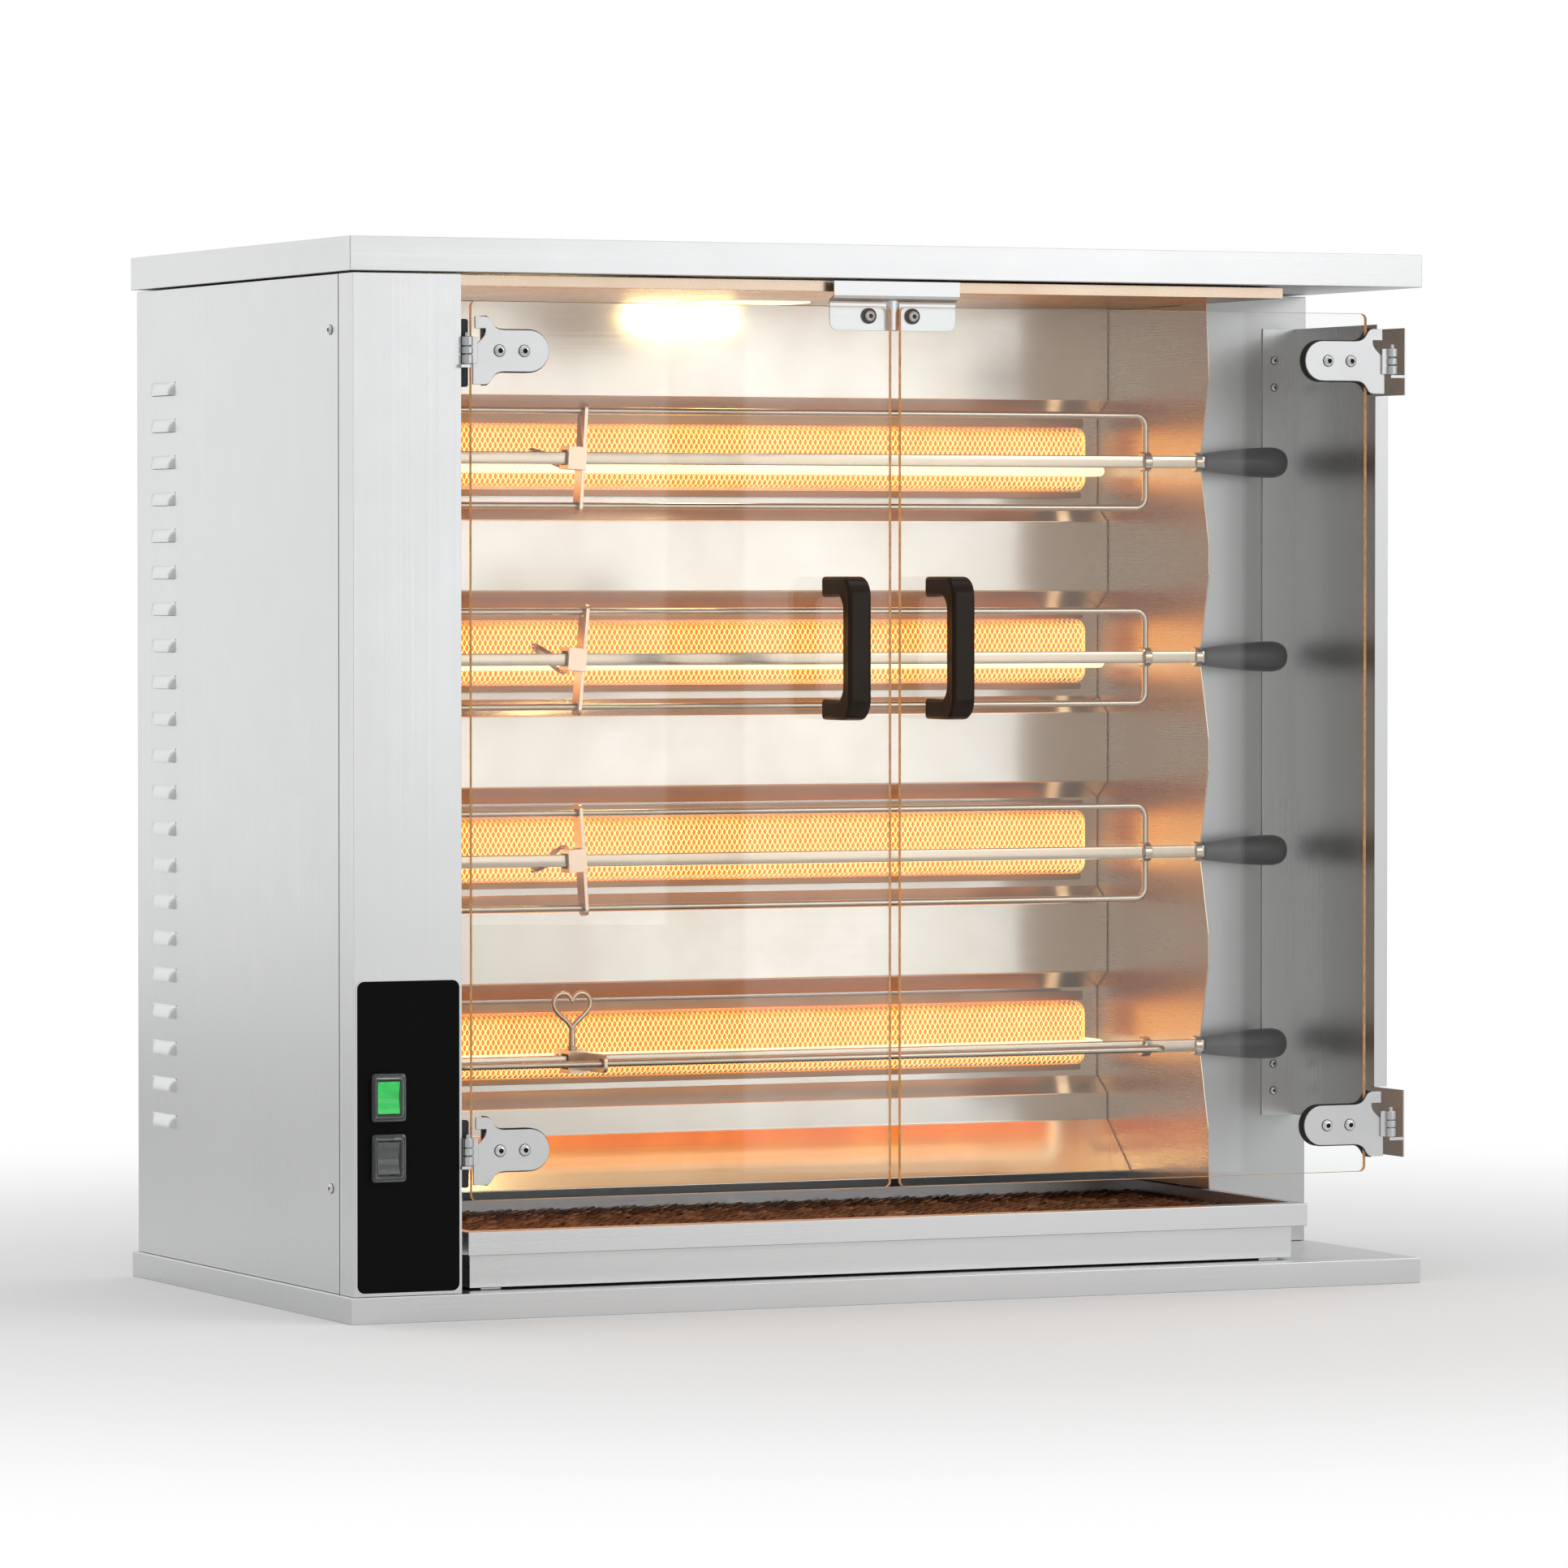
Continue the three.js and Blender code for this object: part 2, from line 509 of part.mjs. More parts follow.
// Cooking chamber: left wall, wavy right wall, troughed reflector with its apron, and ceiling.
function addChamber() {
  const wallBack = depth(REFLECTOR_DEPTH + TROUGH_DEPTH) + 2 * SHEET;
  const wallLow = baseTop + TRAY_REST + TRAY_HEIGHT + 4;
  const leftWall = block(
    [chamberLeft - SHEET, chamberLeft],
    [depth(COLUMN_RETURN + CASING_INSET) + FIT, wallBack],
    [wallLow, ceiling - FIT],
  );
  const bores = [];
  for (let k = 0; k < SPITS; k += 1) {
    bores.push(rodX(SHAFT_RADIUS + RUN, [chamberLeft - 5, chamberLeft + 5], spitY, spitZ(k)));
    bores.push(rodX(ROD_RADIUS + FIT, [chamberLeft - 5, chamberLeft + 5], rodAxis, rodHeight(k)));
  }
  add('chamber_left_wall', cut(leftWall, ...bores), POLISHED);

  const front = depth(WALL_SETBACK);
  const edge = [[front + 8, ceiling - FIT]];
  for (let k = 0; k < SPITS; k += 1) {
    const z = spitZ(k);
    edge.push([front + 2, z + 0.42 * spitPitch], [front + WAVE, z], [front + 2, z - 0.42 * spitPitch]);
  }
  edge.push([front, wallLow]);
  const wallShape = outline([...edge, [wallBack, wallLow], [wallBack, ceiling - FIT]]);
  const slots = [];
  for (let k = 0; k < SPITS; k += 1) {
    const rise = journal + RUN;
    slots.push(rodX(rise, [chamberRight - 2, chamberRight + 4], spitY, spitZ(k), 20));
    slots.push(block([chamberRight - 2, chamberRight + 4], [front - 2, spitY],
      [spitZ(k) - rise, spitZ(k) + rise]));
  }
  const rightWall = sideways(wallShape, chamberRight, chamberRight + SHEET);
  add('chamber_right_wall', cut(rightWall, ...slots), POLISHED);

  const half = (spitPitch - TROUGH_FLAT) / 2;
  const path = [[reflector, ceiling - FIT]];
  for (let k = 0; k < SPITS; k += 1) {
    const z = spitZ(k) + HEATER_RAISE - 1;
    path.push([reflector, z + half], [reflector + TROUGH_DEPTH, z + half - TROUGH_SLOPE]);
    path.push([reflector + TROUGH_DEPTH, z - half + TROUGH_SLOPE], [reflector, z - half]);
  }
  path.push([reflector, baseTop + APRON_TOP], [reflector - APRON_REACH, baseTop + APRON_FOOT]);
  add('back_reflector', sideways(folded(path), chamberLeft + FIT, chamberRight - FIT), POLISHED);

  const lampY = reflector - LAMP_FROM_BACK;
  const ceilingFront = depth(DOOR_DEPTH + GLASS + 3);
  const ceilingSheet = block([chamberLeft, chamberRight + SHEET], [ceilingFront, wallBack],
    [ceiling, ceiling + SHEET]);
  const brow = block([chamberLeft, chamberRight + SHEET], [ceilingFront, ceilingFront + SHEET],
    [ceiling, casingTop]);
  const lampHole = block([LAMP_X - LAMP_WIDTH / 2, LAMP_X + LAMP_WIDTH / 2],
    [lampY - LAMP_DEPTH / 2, lampY + LAMP_DEPTH / 2], [ceiling - 2, ceiling + 4]);
  add('chamber_ceiling', cut(join(ceilingSheet, brow), lampHole), POLISHED);
  add('lamp_glass', block(
    [LAMP_X - LAMP_WIDTH / 2 + FIT, LAMP_X + LAMP_WIDTH / 2 - FIT],
    [lampY - LAMP_DEPTH / 2 + FIT, lampY + LAMP_DEPTH / 2 - FIT],
    [ceiling - 1.5, ceiling + 2.5],
  ), GLASS_FINISH);
}

// Heaters: an open-backed mesh basket with a round right end, and a glowing rod before it.
function addHeaters() {
  const end = chamberRight - HEATER_END_GAP;
  for (let k = 0; k < SPITS; k += 1) {
    const basket = (skin) => {
      const shape = new THREE.Shape();
      const radius = HEATER_HIGH / 2 - skin;
      shape.moveTo(chamberLeft + 1 + skin, heaterZ(k) - radius);
      shape.lineTo(end - 12, heaterZ(k) - radius);
      shape.quadraticCurveTo(end - skin, heaterZ(k) - radius, end - skin, heaterZ(k));
      shape.quadraticCurveTo(end - skin, heaterZ(k) + radius, end - 12, heaterZ(k) + radius);
      shape.lineTo(chamberLeft + 1 + skin, heaterZ(k) + radius);
      return shape;
    };
    add(`heater_mesh_${k + 1}`, cut(
      facing(basket(0), heaterFace, heaterFace + HEATER_DEEP),
      facing(basket(HEATER_SKIN), heaterFace + HEATER_SKIN, heaterFace + HEATER_DEEP + 1),
    ), GLOWING);
    const bendX = end + ROD_RADIUS + 4;
    add(`heater_rod_${k + 1}`, bentWire([
      [chamberLeft - 18, rodAxis, rodHeight(k)],
      [bendX, rodAxis, rodHeight(k)],
      [bendX, reflector + TROUGH_DEPTH - FIT, rodHeight(k)],
    ], ROD_RADIUS, ROD_BEND), GLOWING);
  }
}

// Spits: each turns in a driven socket on the left and a slot in the chamber's right wall.
function addSpits() {
  const frameLeft = chamberLeft + FRAME_LEFT_GAP;
  const frameRight = chamberRight - FRAME_RIGHT_GAP;
  for (let k = 0; k < SPITS; k += 1) {
    const spit = new THREE.Group();
    spit.position.set(0, spitY, spitZ(k));
    spit.rotation.x = THREE.MathUtils.degToRad(SPIT_TURNS[k]);
    oven.add(spit);

    const bar = block([barLeft, handleStart - FIT], [-BAR / 2, BAR / 2], [-BAR / 2, BAR / 2]);
    const bush = rodX(journal, [chamberRight - 2, chamberRight - 2 + JOURNAL_LENGTH], 0, 0, 20);
    const tang = rodX(TANG_RADIUS, [handleStart - 2, handleStart + TANG_LENGTH], 0, 0, 12);
    const collars = [frameLeft, frameRight].map((x) => rodX(
      barCorner + COLLAR_COVER, [x - COLLAR_LENGTH / 2, x + COLLAR_LENGTH / 2], 0, 0, 12,
    ));
    const wire = bentWire([
      [frameLeft, 0, 1], [frameLeft, 0, FRAME_RISE], [frameRight, 0, FRAME_RISE],
      [frameRight, 0, -FRAME_RISE], [frameLeft, 0, -FRAME_RISE], [frameLeft, 0, -1],
    ], WIRE / 2, FRAME_BEND);
    add(`spit_${k + 1}`, join(bar, bush, tang, ...collars, wire), WIRE_STEEL, spit);

    const grip = turned([
      [0, 0], [0, HANDLE_NECK_RADIUS], [4, HANDLE_NECK_RADIUS + 1],
      [HANDLE_LENGTH * 0.7, HANDLE_TIP_RADIUS], [HANDLE_LENGTH - 5, HANDLE_TIP_RADIUS],
      [HANDLE_LENGTH, HANDLE_TIP_RADIUS - 4], [HANDLE_LENGTH, 0],
    ]).translate(handleStart, 0, 0);
    const bore = rodX(TANG_RADIUS + FIT, [handleStart - 1, handleStart + TANG_LENGTH + 1], 0, 0, 12);
    add(`spit_handle_${k + 1}`, cut(grip, bore), BLACK_PLASTIC, spit);
    addClamp(k, spit);
    addDrive(k);
  }
}

// Sliding fork: a plate threaded over both wires, with a sleeve round the bar and a heart-headed screw.
function addClamp(k, spit) {
  const clamp = new THREE.Group();
  clamp.position.x = clampX;
  clamp.rotation.y = THREE.MathUtils.degToRad(CLAMP_LEANS[k]);
  spit.add(clamp);
  const inner = BAR / 2 + CLAMP_SLACK;
  const outer = inner + CLAMP_WALL;
  const sleeveEnd = CLAMP_SLEEVE / 2;
  const plate = sideways(roundedRectangle(
    [-CLAMP_DEEP / 2, CLAMP_DEEP / 2], [-clampHigh / 2, clampHigh / 2], 5,
  ), sleeveEnd - CLAMP_THICK, sleeveEnd, 3);
  const sleeve = block([-sleeveEnd, sleeveEnd], [-outer, outer], [-outer, outer]);
  const barHole = block([-CLAMP_SLEEVE, CLAMP_SLEEVE], [-inner, inner], [-inner, inner]);
  const wireHoles = [-FRAME_RISE, FRAME_RISE].map((z) => rodX(
    WIRE / 2 + CLAMP_SLACK, [-CLAMP_SLEEVE, CLAMP_SLEEVE], 0, z, 12,
  ));
  const screwX = -CLAMP_THICK / 2;
  const screwHole = rodY(SCREW_RADIUS + FIT, [0, outer + 1], screwX, 0, 12);
  const fork = cut(join(plate, sleeve), barHole, ...wireHoles, screwHole);
  add(`spit_clamp_${k + 1}`, fork, WIRE_STEEL, clamp);

  const screw = new THREE.Group();
  screw.position.x = screwX;
  screw.rotation.y = THREE.MathUtils.degToRad(SCREW_TWISTS[k]);
  clamp.add(screw);
  const heartFoot = outer + SHANK;
  const shank = rodY(SCREW_RADIUS, [inner + 0.2, heartFoot + HEART_WIRE / 2], 0, 0, 12);
  const heart = (inset) => {
    const w = HEART_WIDTH / 2 - inset;
    const foot = inset * 1.6;
    const top = HEART_HEIGHT - inset;
    const shape = new THREE.Shape();
    shape.moveTo(0, foot);
    shape.bezierCurveTo(w * 0.5, foot + 7, w, top * 0.5, w, top * 0.72);
    shape.bezierCurveTo(w, top * 1.08, w * 0.25, top * 1.08, 0, top * 0.74 - inset * 0.2);
    shape.bezierCurveTo(-w * 0.25, top * 1.08, -w, top * 1.08, -w, top * 0.72);
    shape.bezierCurveTo(-w, top * 0.5, -w * 0.5, foot + 7, 0, foot);
    return shape;
  };
  const ring = heart(0);
  ring.holes.push(new THREE.Path(heart(HEART_WIRE).getPoints(5)));
  const head = upright(ring, -HEART_WIRE / 2, HEART_WIRE / 2).translate(0, heartFoot, 0);
  add(`clamp_screw_${k + 1}`, join(shank, head), WIRE_STEEL, screw);
}

// Drive: a square socket inside the chamber on one shaft with a chain sprocket outside it.
function addDrive(k) {
  const tip = Math.PI / SPROCKET_TEETH;
  const teeth = Array.from({ length: SPROCKET_TEETH * 2 }, (_, i) => {
    const radius = i % 2 ? SPROCKET_RADIUS - 5 : SPROCKET_RADIUS;
    return [radius * Math.cos(i * tip), radius * Math.sin(i * tip)];
  });
  const disc = sideways(outline(teeth), sprocketX - SPROCKET_THICK, sprocketX);
  const shaft = rodX(SHAFT_RADIUS, [sprocketX - SPROCKET_THICK - 4, chamberLeft + 4], 0, 0);
  const cup = rodX(SOCKET_RADIUS, [chamberLeft + 1, chamberLeft + SOCKET_LENGTH], 0, 0, 20);
  const well = block([barLeft - FIT, chamberLeft + SOCKET_LENGTH + 1],
    [-BAR / 2 - RUN, BAR / 2 + RUN], [-BAR / 2 - RUN, BAR / 2 + RUN]);
  const drive = add(`drive_sprocket_${k + 1}`, cut(join(disc, shaft, cup), well), HINGE_STEEL);
  drive.position.set(0, spitY, spitZ(k));
}

// Chain and gear motor in the control column's compartment.
function addDriveTrain() {
  const loop = (radius) => roundedRectangle(
    [spitY - radius, spitY + radius], [spitZ(SPITS - 1) - radius, spitZ(0) + radius], radius - 0.01,
  );
  const ring = loop(SPROCKET_RADIUS + FIT + CHAIN_THICK);
  ring.holes.push(new THREE.Path(loop(SPROCKET_RADIUS + FIT).getPoints(8)));
  add('drive_chain', sideways(ring, sprocketX - SPROCKET_THICK, sprocketX, 8), HINGE_STEEL);

  const motorRight = sprocketX - SPROCKET_THICK - 4 - 1;
  const z = spitZ(SPITS - 1);
  const y = spitY + MOTOR_OFFSET;
  const height = [z - GEARBOX[2] / 4, z + GEARBOX[2] / 4];
  const gearbox = block(
    [motorRight - GEARBOX[0], motorRight],
    [y - GEARBOX[1] / 2, y + GEARBOX[1] / 2],
    [z - GEARBOX[2] / 2, z + GEARBOX[2] / 2],
  );
  const can = rodX(MOTOR_RADIUS, [left + 8, motorRight - GEARBOX[0] / 2], y, z, 20);
  const arms = [-YOKE_REACH, YOKE_REACH].map((offset) => block(
    [motorRight - YOKE_THICK, chamberLeft - SHEET - FIT],
    [spitY + offset - YOKE_THICK / 2, spitY + offset + YOKE_THICK / 2],
    height,
  ));
  const yoke = block(
    [motorRight - YOKE_THICK, motorRight - 3],
    [spitY - YOKE_REACH - YOKE_THICK / 2, spitY + YOKE_REACH + YOKE_THICK / 2],
    height,
  );
  add('gear_motor', join(gearbox, can, ...arms, yoke), HINGE_STEEL);
}

// Doors: bare glass panes, each with two clamped hinge plates and a bow handle.
function addDoors() {
  const doors = [
    {
      side: 'left',
      x: [columnRight + DOOR_LEFT_GAP, SEAM_X - SEAM / 2],
      pin: leftPin,
      reach: HINGE_REACH,
      grip: SEAM_X - LEFT_GRIP_FROM_SEAM,
    },
    {
      side: 'right',
      x: [SEAM_X + SEAM / 2, right - DOOR_RIGHT_GAP],
      pin: rightPin,
      reach: -HINGE_REACH_RIGHT,
      grip: SEAM_X + RIGHT_GRIP_FROM_SEAM,
    },
  ];
  for (const door of doors) {
    add(`${door.side}_door_glass`, facing(
      roundedRectangle(door.x, [doorLow, doorHigh], GLASS_CORNER), glassFront, glassFront + GLASS, 3,
    ), GLASS_FINISH);
    addHingePlate(`${door.side}_hinge_top`, door, hingeZ[0]);
    addHingePlate(`${door.side}_hinge_bottom`, door, hingeZ[1]);
    addGrip(`${door.side}_door_handle`, door.grip);
  }
}

// Hinge plate: high at the pin, drawn in by two S-bends to a round end, with a bored eye on the pin.
function addHingePlate(name, { pin, reach }, z) {
  const way = Math.sign(reach);
  const root = HINGE_ROOT / 2;
  const lobe = HINGE_LOBE / 2;
  const start = way * (EYE_RADIUS + 1);
  const waist = way * Math.abs(reach) * 0.38;
  const end = reach - way * lobe;
  const shape = new THREE.Shape();
  shape.moveTo(start, -root);
  shape.lineTo(way * 16, -root);
  shape.bezierCurveTo(way * 24, -root, way * 20, -lobe, waist + way * 6, -lobe);
  shape.lineTo(end, -lobe);
  shape.absarc(end, 0, lobe, -Math.PI / 2, Math.PI / 2, way < 0);
  shape.lineTo(waist + way * 6, lobe);
  shape.bezierCurveTo(way * 20, lobe, way * 24, root, way * 16, root);
  shape.lineTo(start, root);
  const plateBack = glassFront - FIT;
  const plate = facing(shape, plateBack - HINGE_PLATE, plateBack, 8);
  const eye = rodZ(EYE_RADIUS, [-EYE_HEIGHT / 2, EYE_HEIGHT / 2], 0, pinY, 16);
  const web = block([Math.min(0, way * 12), Math.max(0, way * 12)],
    [pinY, plateBack], [-EYE_HEIGHT / 2, EYE_HEIGHT / 2]);
  const bore = rodZ(PIN_RADIUS + RUN, [-EYE_HEIGHT, EYE_HEIGHT], 0, pinY, 16);
  const hinge = add(name, cut(join(plate, eye, web), bore), HINGE_STEEL);
  hinge.position.set(pin, 0, z);
}

// Bow handle: two feet on the glass and an upright bar with sloped corners.
function addGrip(name, x) {
  const back = glassFront - FIT;
  const front = glassFront - GRIP_REACH;
  const half = GRIP_HEIGHT / 2;
  const z = baseTop + GRIP_Z;
  const slope = 12;
  const section = outline([
    [back, z - half], [front + slope, z - half], [front, z - half + slope], [front, z + half - slope],
    [front + slope, z + half], [back, z + half], [back, z + half - GRIP_FOOT],
    [front + GRIP_THICK + 8, z + half - GRIP_FOOT], [front + GRIP_THICK, z + half - GRIP_FOOT - 8],
    [front + GRIP_THICK, z - half + GRIP_FOOT + 8], [front + GRIP_THICK + 8, z - half + GRIP_FOOT],
    [back, z - half + GRIP_FOOT],
  ]);
  add(name, sideways(section, x - GRIP_WIDTH / 2, x + GRIP_WIDTH / 2), BLACK_PLASTIC);
}

// Door stop: a joggled strip under the roof's edge whose lower half lies behind both panes.
function addDoorStop() {
  const upper = depth(DOOR_DEPTH - 1);
  const lower = glassFront + GLASS + STOP_CLEAR;
  const top = casingTop - FIT;
  const joggle = top - STOP_JOGGLE;
  const width = [SEAM_X - STOP_WIDTH / 2, SEAM_X + STOP_WIDTH / 2];
  const strip = block(width, [upper - SHEET, upper], [joggle + 3, top]);
  const tongue = facing(
    roundedRectangle(width, [top - STOP_DROP, joggle + 5], 5), lower - 2 * SHEET, lower - SHEET, 3,
  );
  const shelf = block(width, [upper - SHEET, lower - SHEET], [joggle + 3, joggle + 3 + SHEET]);
  add('door_stop', join(strip, shelf, tongue), HINGE_STEEL);
}

// Hinge post: a Z-shaped guard in the bay, with two ears that carry the right door's pins.
function addHingePost() {
  const web = right - POST_INSET;
  const back = bayFront - FIT;
  const front = depth(POST_SETBACK);
  const low = baseTop + POST_FOOT;
  const high = casingTop - POST_TOP_DROP;
  const earHalf = EAR_HIGH / 2;
  const profile = folded([
    [web - POST_FLANGE, back - SHEET], [web, back - SHEET], [web, front],
  ]);
  const flange = block([web - SHEET, web + POST_LIP], [front, front + SHEET],
    [hingeZ[1] + earHalf, hingeZ[0] - earHalf]);
  const ears = hingeZ.map((z) => block([web - SHEET, web], [pinY - PIN_RADIUS, front + 10],
    [z - earHalf, z + earHalf]));
  const lugs = hingeZ.flatMap((z) => pinLug(web - SHEET / 2, rightPin, pinY + 2 * PIN_RADIUS, z));
  add('hinge_post', join(upright(profile, low, high), flange, ...ears, ...lugs), HINGE_STEEL);
}

// Control label with two rocker switches under it, all on the column's face.
function addControls() {
  const labelBack = columnFront - STUCK;
  const labelLeft = left + (COLUMN_WIDTH - LABEL_WIDTH) / 2;
  const labelLow = baseTop + LABEL_FOOT;
  const film = facing(
    roundedRectangle([labelLeft, labelLeft + LABEL_WIDTH], [labelLow, labelLow + LABEL_HEIGHT], LABEL_CORNER),
    labelBack - LABEL_THICK,
    labelBack,
  );
  add('control_label', cut(film, ...switchZ.map((z) => block(
    [switchX - switchHole[0], switchX + switchHole[0]],
    [labelBack - 2, labelBack + 1],
    [z - switchHole[1], z + switchHole[1]],
  ))), BLACK_PLASTIC);
  addSwitch('upper', switchZ[0], finish(0x1fbf4b, 0.2, 0));
  addSwitch('lower', switchZ[1], finish(0xb9bcbf, 0.2, 0));
}

// Rocker switch: a rimmed body let into the column, open at the front, with a dished rocker in it.
function addSwitch(name, z, rockerLook) {
  const rimBack = columnFront - 2 * STUCK - LABEL_THICK;
  const rimFront = rimBack - SWITCH_PROUD;
  const wellX = SWITCH_WIDTH / 2 - SWITCH_RIM - SWITCH_WALL;
  const wellZ = SWITCH_HEIGHT / 2 - SWITCH_RIM - SWITCH_WALL;
  const [rimX, rimZ] = [SWITCH_WIDTH / 2, SWITCH_HEIGHT / 2];
  const rim = facing(
    roundedRectangle([switchX - rimX, switchX + rimX], [z - rimZ, z + rimZ], 2.5), rimFront, rimBack, 3,
  );
  const [bodyX, bodyZ] = switchHole.map((half) => half - 2 * FIT);
  const body = block(
    [switchX - bodyX, switchX + bodyX], [rimBack - 1, rimBack + SWITCH_BODY], [z - bodyZ, z + bodyZ],
  );
  const well = block(
    [switchX - wellX, switchX + wellX], [rimFront - 1, rimBack + SWITCH_BODY - 4], [z - wellZ, z + wellZ],
  );
  add(`${name}_switch_body`, cut(join(rim, body), well), BLACK_PLASTIC);

  const section = outline([
    [-5.5, -wellZ + 1.4], [-3.4, 0], [-5.5, wellZ - 1.4], [4, wellZ - 2.4], [7, 0], [4, -wellZ + 2.4],
  ]);
  const rocker = add(`${name}_rocker`, sideways(section, -wellX + 2 * FIT, wellX - 2 * FIT), rockerLook);
  rocker.position.set(switchX, rimBack + ROCKER_SINK, z);
}

// Drip tray: a pan with a rim all round, its front rim folded down as a lip.
function addTray() {
  const low = baseTop + TRAY_REST;
  const high = low + TRAY_HEIGHT;
  const [front, back] = trayY;
  const pan = block([trayX[0] + TRAY_RIM, trayX[1] - TRAY_RIM], trayY, [low, high]);
  const rim = block(trayX, trayY, [high - SHEET, high]);
  const lip = block(trayX, [front - TRAY_LIP, front + SHEET], [high - TRAY_LIP_DROP, high]);
  const behindLip = block(
    [trayX[0] - 1, trayX[1] + 1],
    [front - TRAY_LIP + SHEET, front],
    [high - TRAY_LIP_DROP - 1, high - SHEET],
  );
  const inside = [trayX[0] + TRAY_RIM + SHEET, trayX[1] - TRAY_RIM - SHEET];
  const well = block(inside, [front + SHEET, back - SHEET], [low + SHEET, high + 1]);
  add('drip_tray', cut(join(pan, rim, lip), behindLip, well), BRUSHED);

  const middle = (inside[0] + inside[1]) / 2;
  addGrid('drip_grid_left', [inside[0] + 2, middle - 1], low + SHEET + FIT, high - GRID_DROP);
  addGrid('drip_grid_right', [middle + 1, inside[1] - 2], low + SHEET + FIT, high - GRID_DROP);
}

// Grid: a slotted plate that stands in the tray on two cross feet.
function addGrid(name, [x0, x1], low, high) {
  const front = trayY[0] + SHEET + 2;
  const back = trayY[1] - SHEET - 2;
  const plate = block([x0, x1], [front, back], [high - GRID_THICK, high]);
  const feet = [front + GRID_FEET_INSET, back - GRID_FEET_INSET].map((y) => block(
    [x0 + GRID_BAR, x1 - GRID_BAR], [y - GRID_FOOT / 2, y + GRID_FOOT / 2], [low, high - 1],
  ));
  const step = (x1 - x0 - GRID_BAR) / GRID_SLOTS;
  const slots = Array.from({ length: GRID_SLOTS }, (_, i) => block(
    [x0 + GRID_BAR + i * step, x0 + (i + 1) * step],
    [front + GRID_BORDER, back - GRID_BORDER],
    [high - GRID_THICK - 1, high + 1],
  ));
  add(name, cut(join(plate, ...feet), ...slots), DARK_STEEL);
}

addTrays();
addLeftSide();
addColumn();
addCasing();
addGland();
addChamber();
addHeaters();
addSpits();
addDriveTrain();
addDoors();
addDoorStop();
addHingePost();
addControls();
addTray();

export default oven;
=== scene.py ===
from math import cos, pi, radians, sin

import bmesh
import bpy
from mathutils import Matrix, Vector


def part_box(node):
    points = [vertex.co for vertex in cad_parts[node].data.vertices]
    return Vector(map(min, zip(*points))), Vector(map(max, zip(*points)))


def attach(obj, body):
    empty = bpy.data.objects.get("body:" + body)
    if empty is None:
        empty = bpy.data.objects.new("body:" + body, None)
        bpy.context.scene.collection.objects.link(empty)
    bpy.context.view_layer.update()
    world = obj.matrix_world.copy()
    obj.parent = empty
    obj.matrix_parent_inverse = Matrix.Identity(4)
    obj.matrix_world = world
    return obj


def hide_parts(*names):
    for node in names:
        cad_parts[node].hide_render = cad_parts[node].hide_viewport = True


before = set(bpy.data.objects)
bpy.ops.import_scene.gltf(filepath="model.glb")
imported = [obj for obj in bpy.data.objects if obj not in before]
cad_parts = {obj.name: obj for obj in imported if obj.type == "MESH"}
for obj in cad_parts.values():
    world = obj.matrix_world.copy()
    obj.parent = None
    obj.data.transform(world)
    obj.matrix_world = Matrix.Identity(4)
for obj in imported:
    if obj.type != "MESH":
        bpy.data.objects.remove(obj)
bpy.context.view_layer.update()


# ------------------------------------------------------------------ studio
# A pale floor under a white surround. Soft boxes stand behind at the left, in front and overhead, where
# the bright steel mirrors them. The camera has a long lens and stands well to the left of the front.
class Value:
    """A node's output: arithmetic on it adds Math nodes to its tree."""

    def __init__(self, tree, node, socket):
        self.tree, self.node, self.socket = tree, node, socket

    def out(self, name):
        return Value(self.tree, self.node, self.node.outputs[name])

    def math(self, operation, *values):
        return self.tree.node("ShaderNodeMath", {"operation": operation}, *values)

    def __add__(self, other):
        return self.math("ADD", self, other)

    def __sub__(self, other):
        return self.math("SUBTRACT", self, other)

    def __rsub__(self, other):
        return self.math("SUBTRACT", other, self)

    def __mul__(self, other):
        return self.math("MULTIPLY", self, other)

    def __gt__(self, other):
        return self.math("GREATER_THAN", self, other)

    __radd__, __rmul__ = __add__, __mul__


class Tree:
    """A node tree that is filled by one method."""

    def __init__(self, tree):
        self.tree = tree
        tree.nodes.clear()

    def node(self, kind, settings=None, *values, **named):
        made = self.tree.nodes.new(kind)
        for key, setting in (settings or {}).items():
            if key == "stops":
                stops = made.color_ramp.elements
                stops[0].position, stops[0].color = setting[0][0], (*setting[0][1], 1)
                stops[1].position, stops[1].color = setting[-1][0], (*setting[-1][1], 1)
                for place, colour in setting[1:-1]:
                    stops.new(place).color = (*colour, 1)
            else:
                setattr(made, key, setting)
        for key, value in [*enumerate(values), *named.items()]:
            socket = made.inputs[key.replace("_", " ") if isinstance(key, str) else key]
            if isinstance(value, Value):
                self.tree.links.new(value.socket, socket)
            elif value is not None:
                socket.default_value = value
        return Value(self, made, made.outputs[0] if made.outputs else None)

    def blend(self, factor, first, second):
        """One colour into another through a Mix node, whose inputs 6 and 7 take colours."""
        skipped = [None] * 5
        made = self.node("ShaderNodeMix", {"data_type": "RGBA"}, factor, *skipped, first, second)
        return Value(self, made.node, made.node.outputs[2])

    def scaled(self, colour, amount):
        """A colour or vector times a number."""
        return self.node("ShaderNodeVectorMath", {"operation": "SCALE"}, colour, Scale=amount)

    def bump(self, height, strength, distance):
        """A normal that follows a height."""
        return self.node("ShaderNodeBump", None, strength, distance, Height=height)

    def noise(self, place, scale, detail=3.0, roughness=0.55):
        return self.node("ShaderNodeTexNoise", None, place, Scale=scale, Detail=detail, Roughness=roughness)


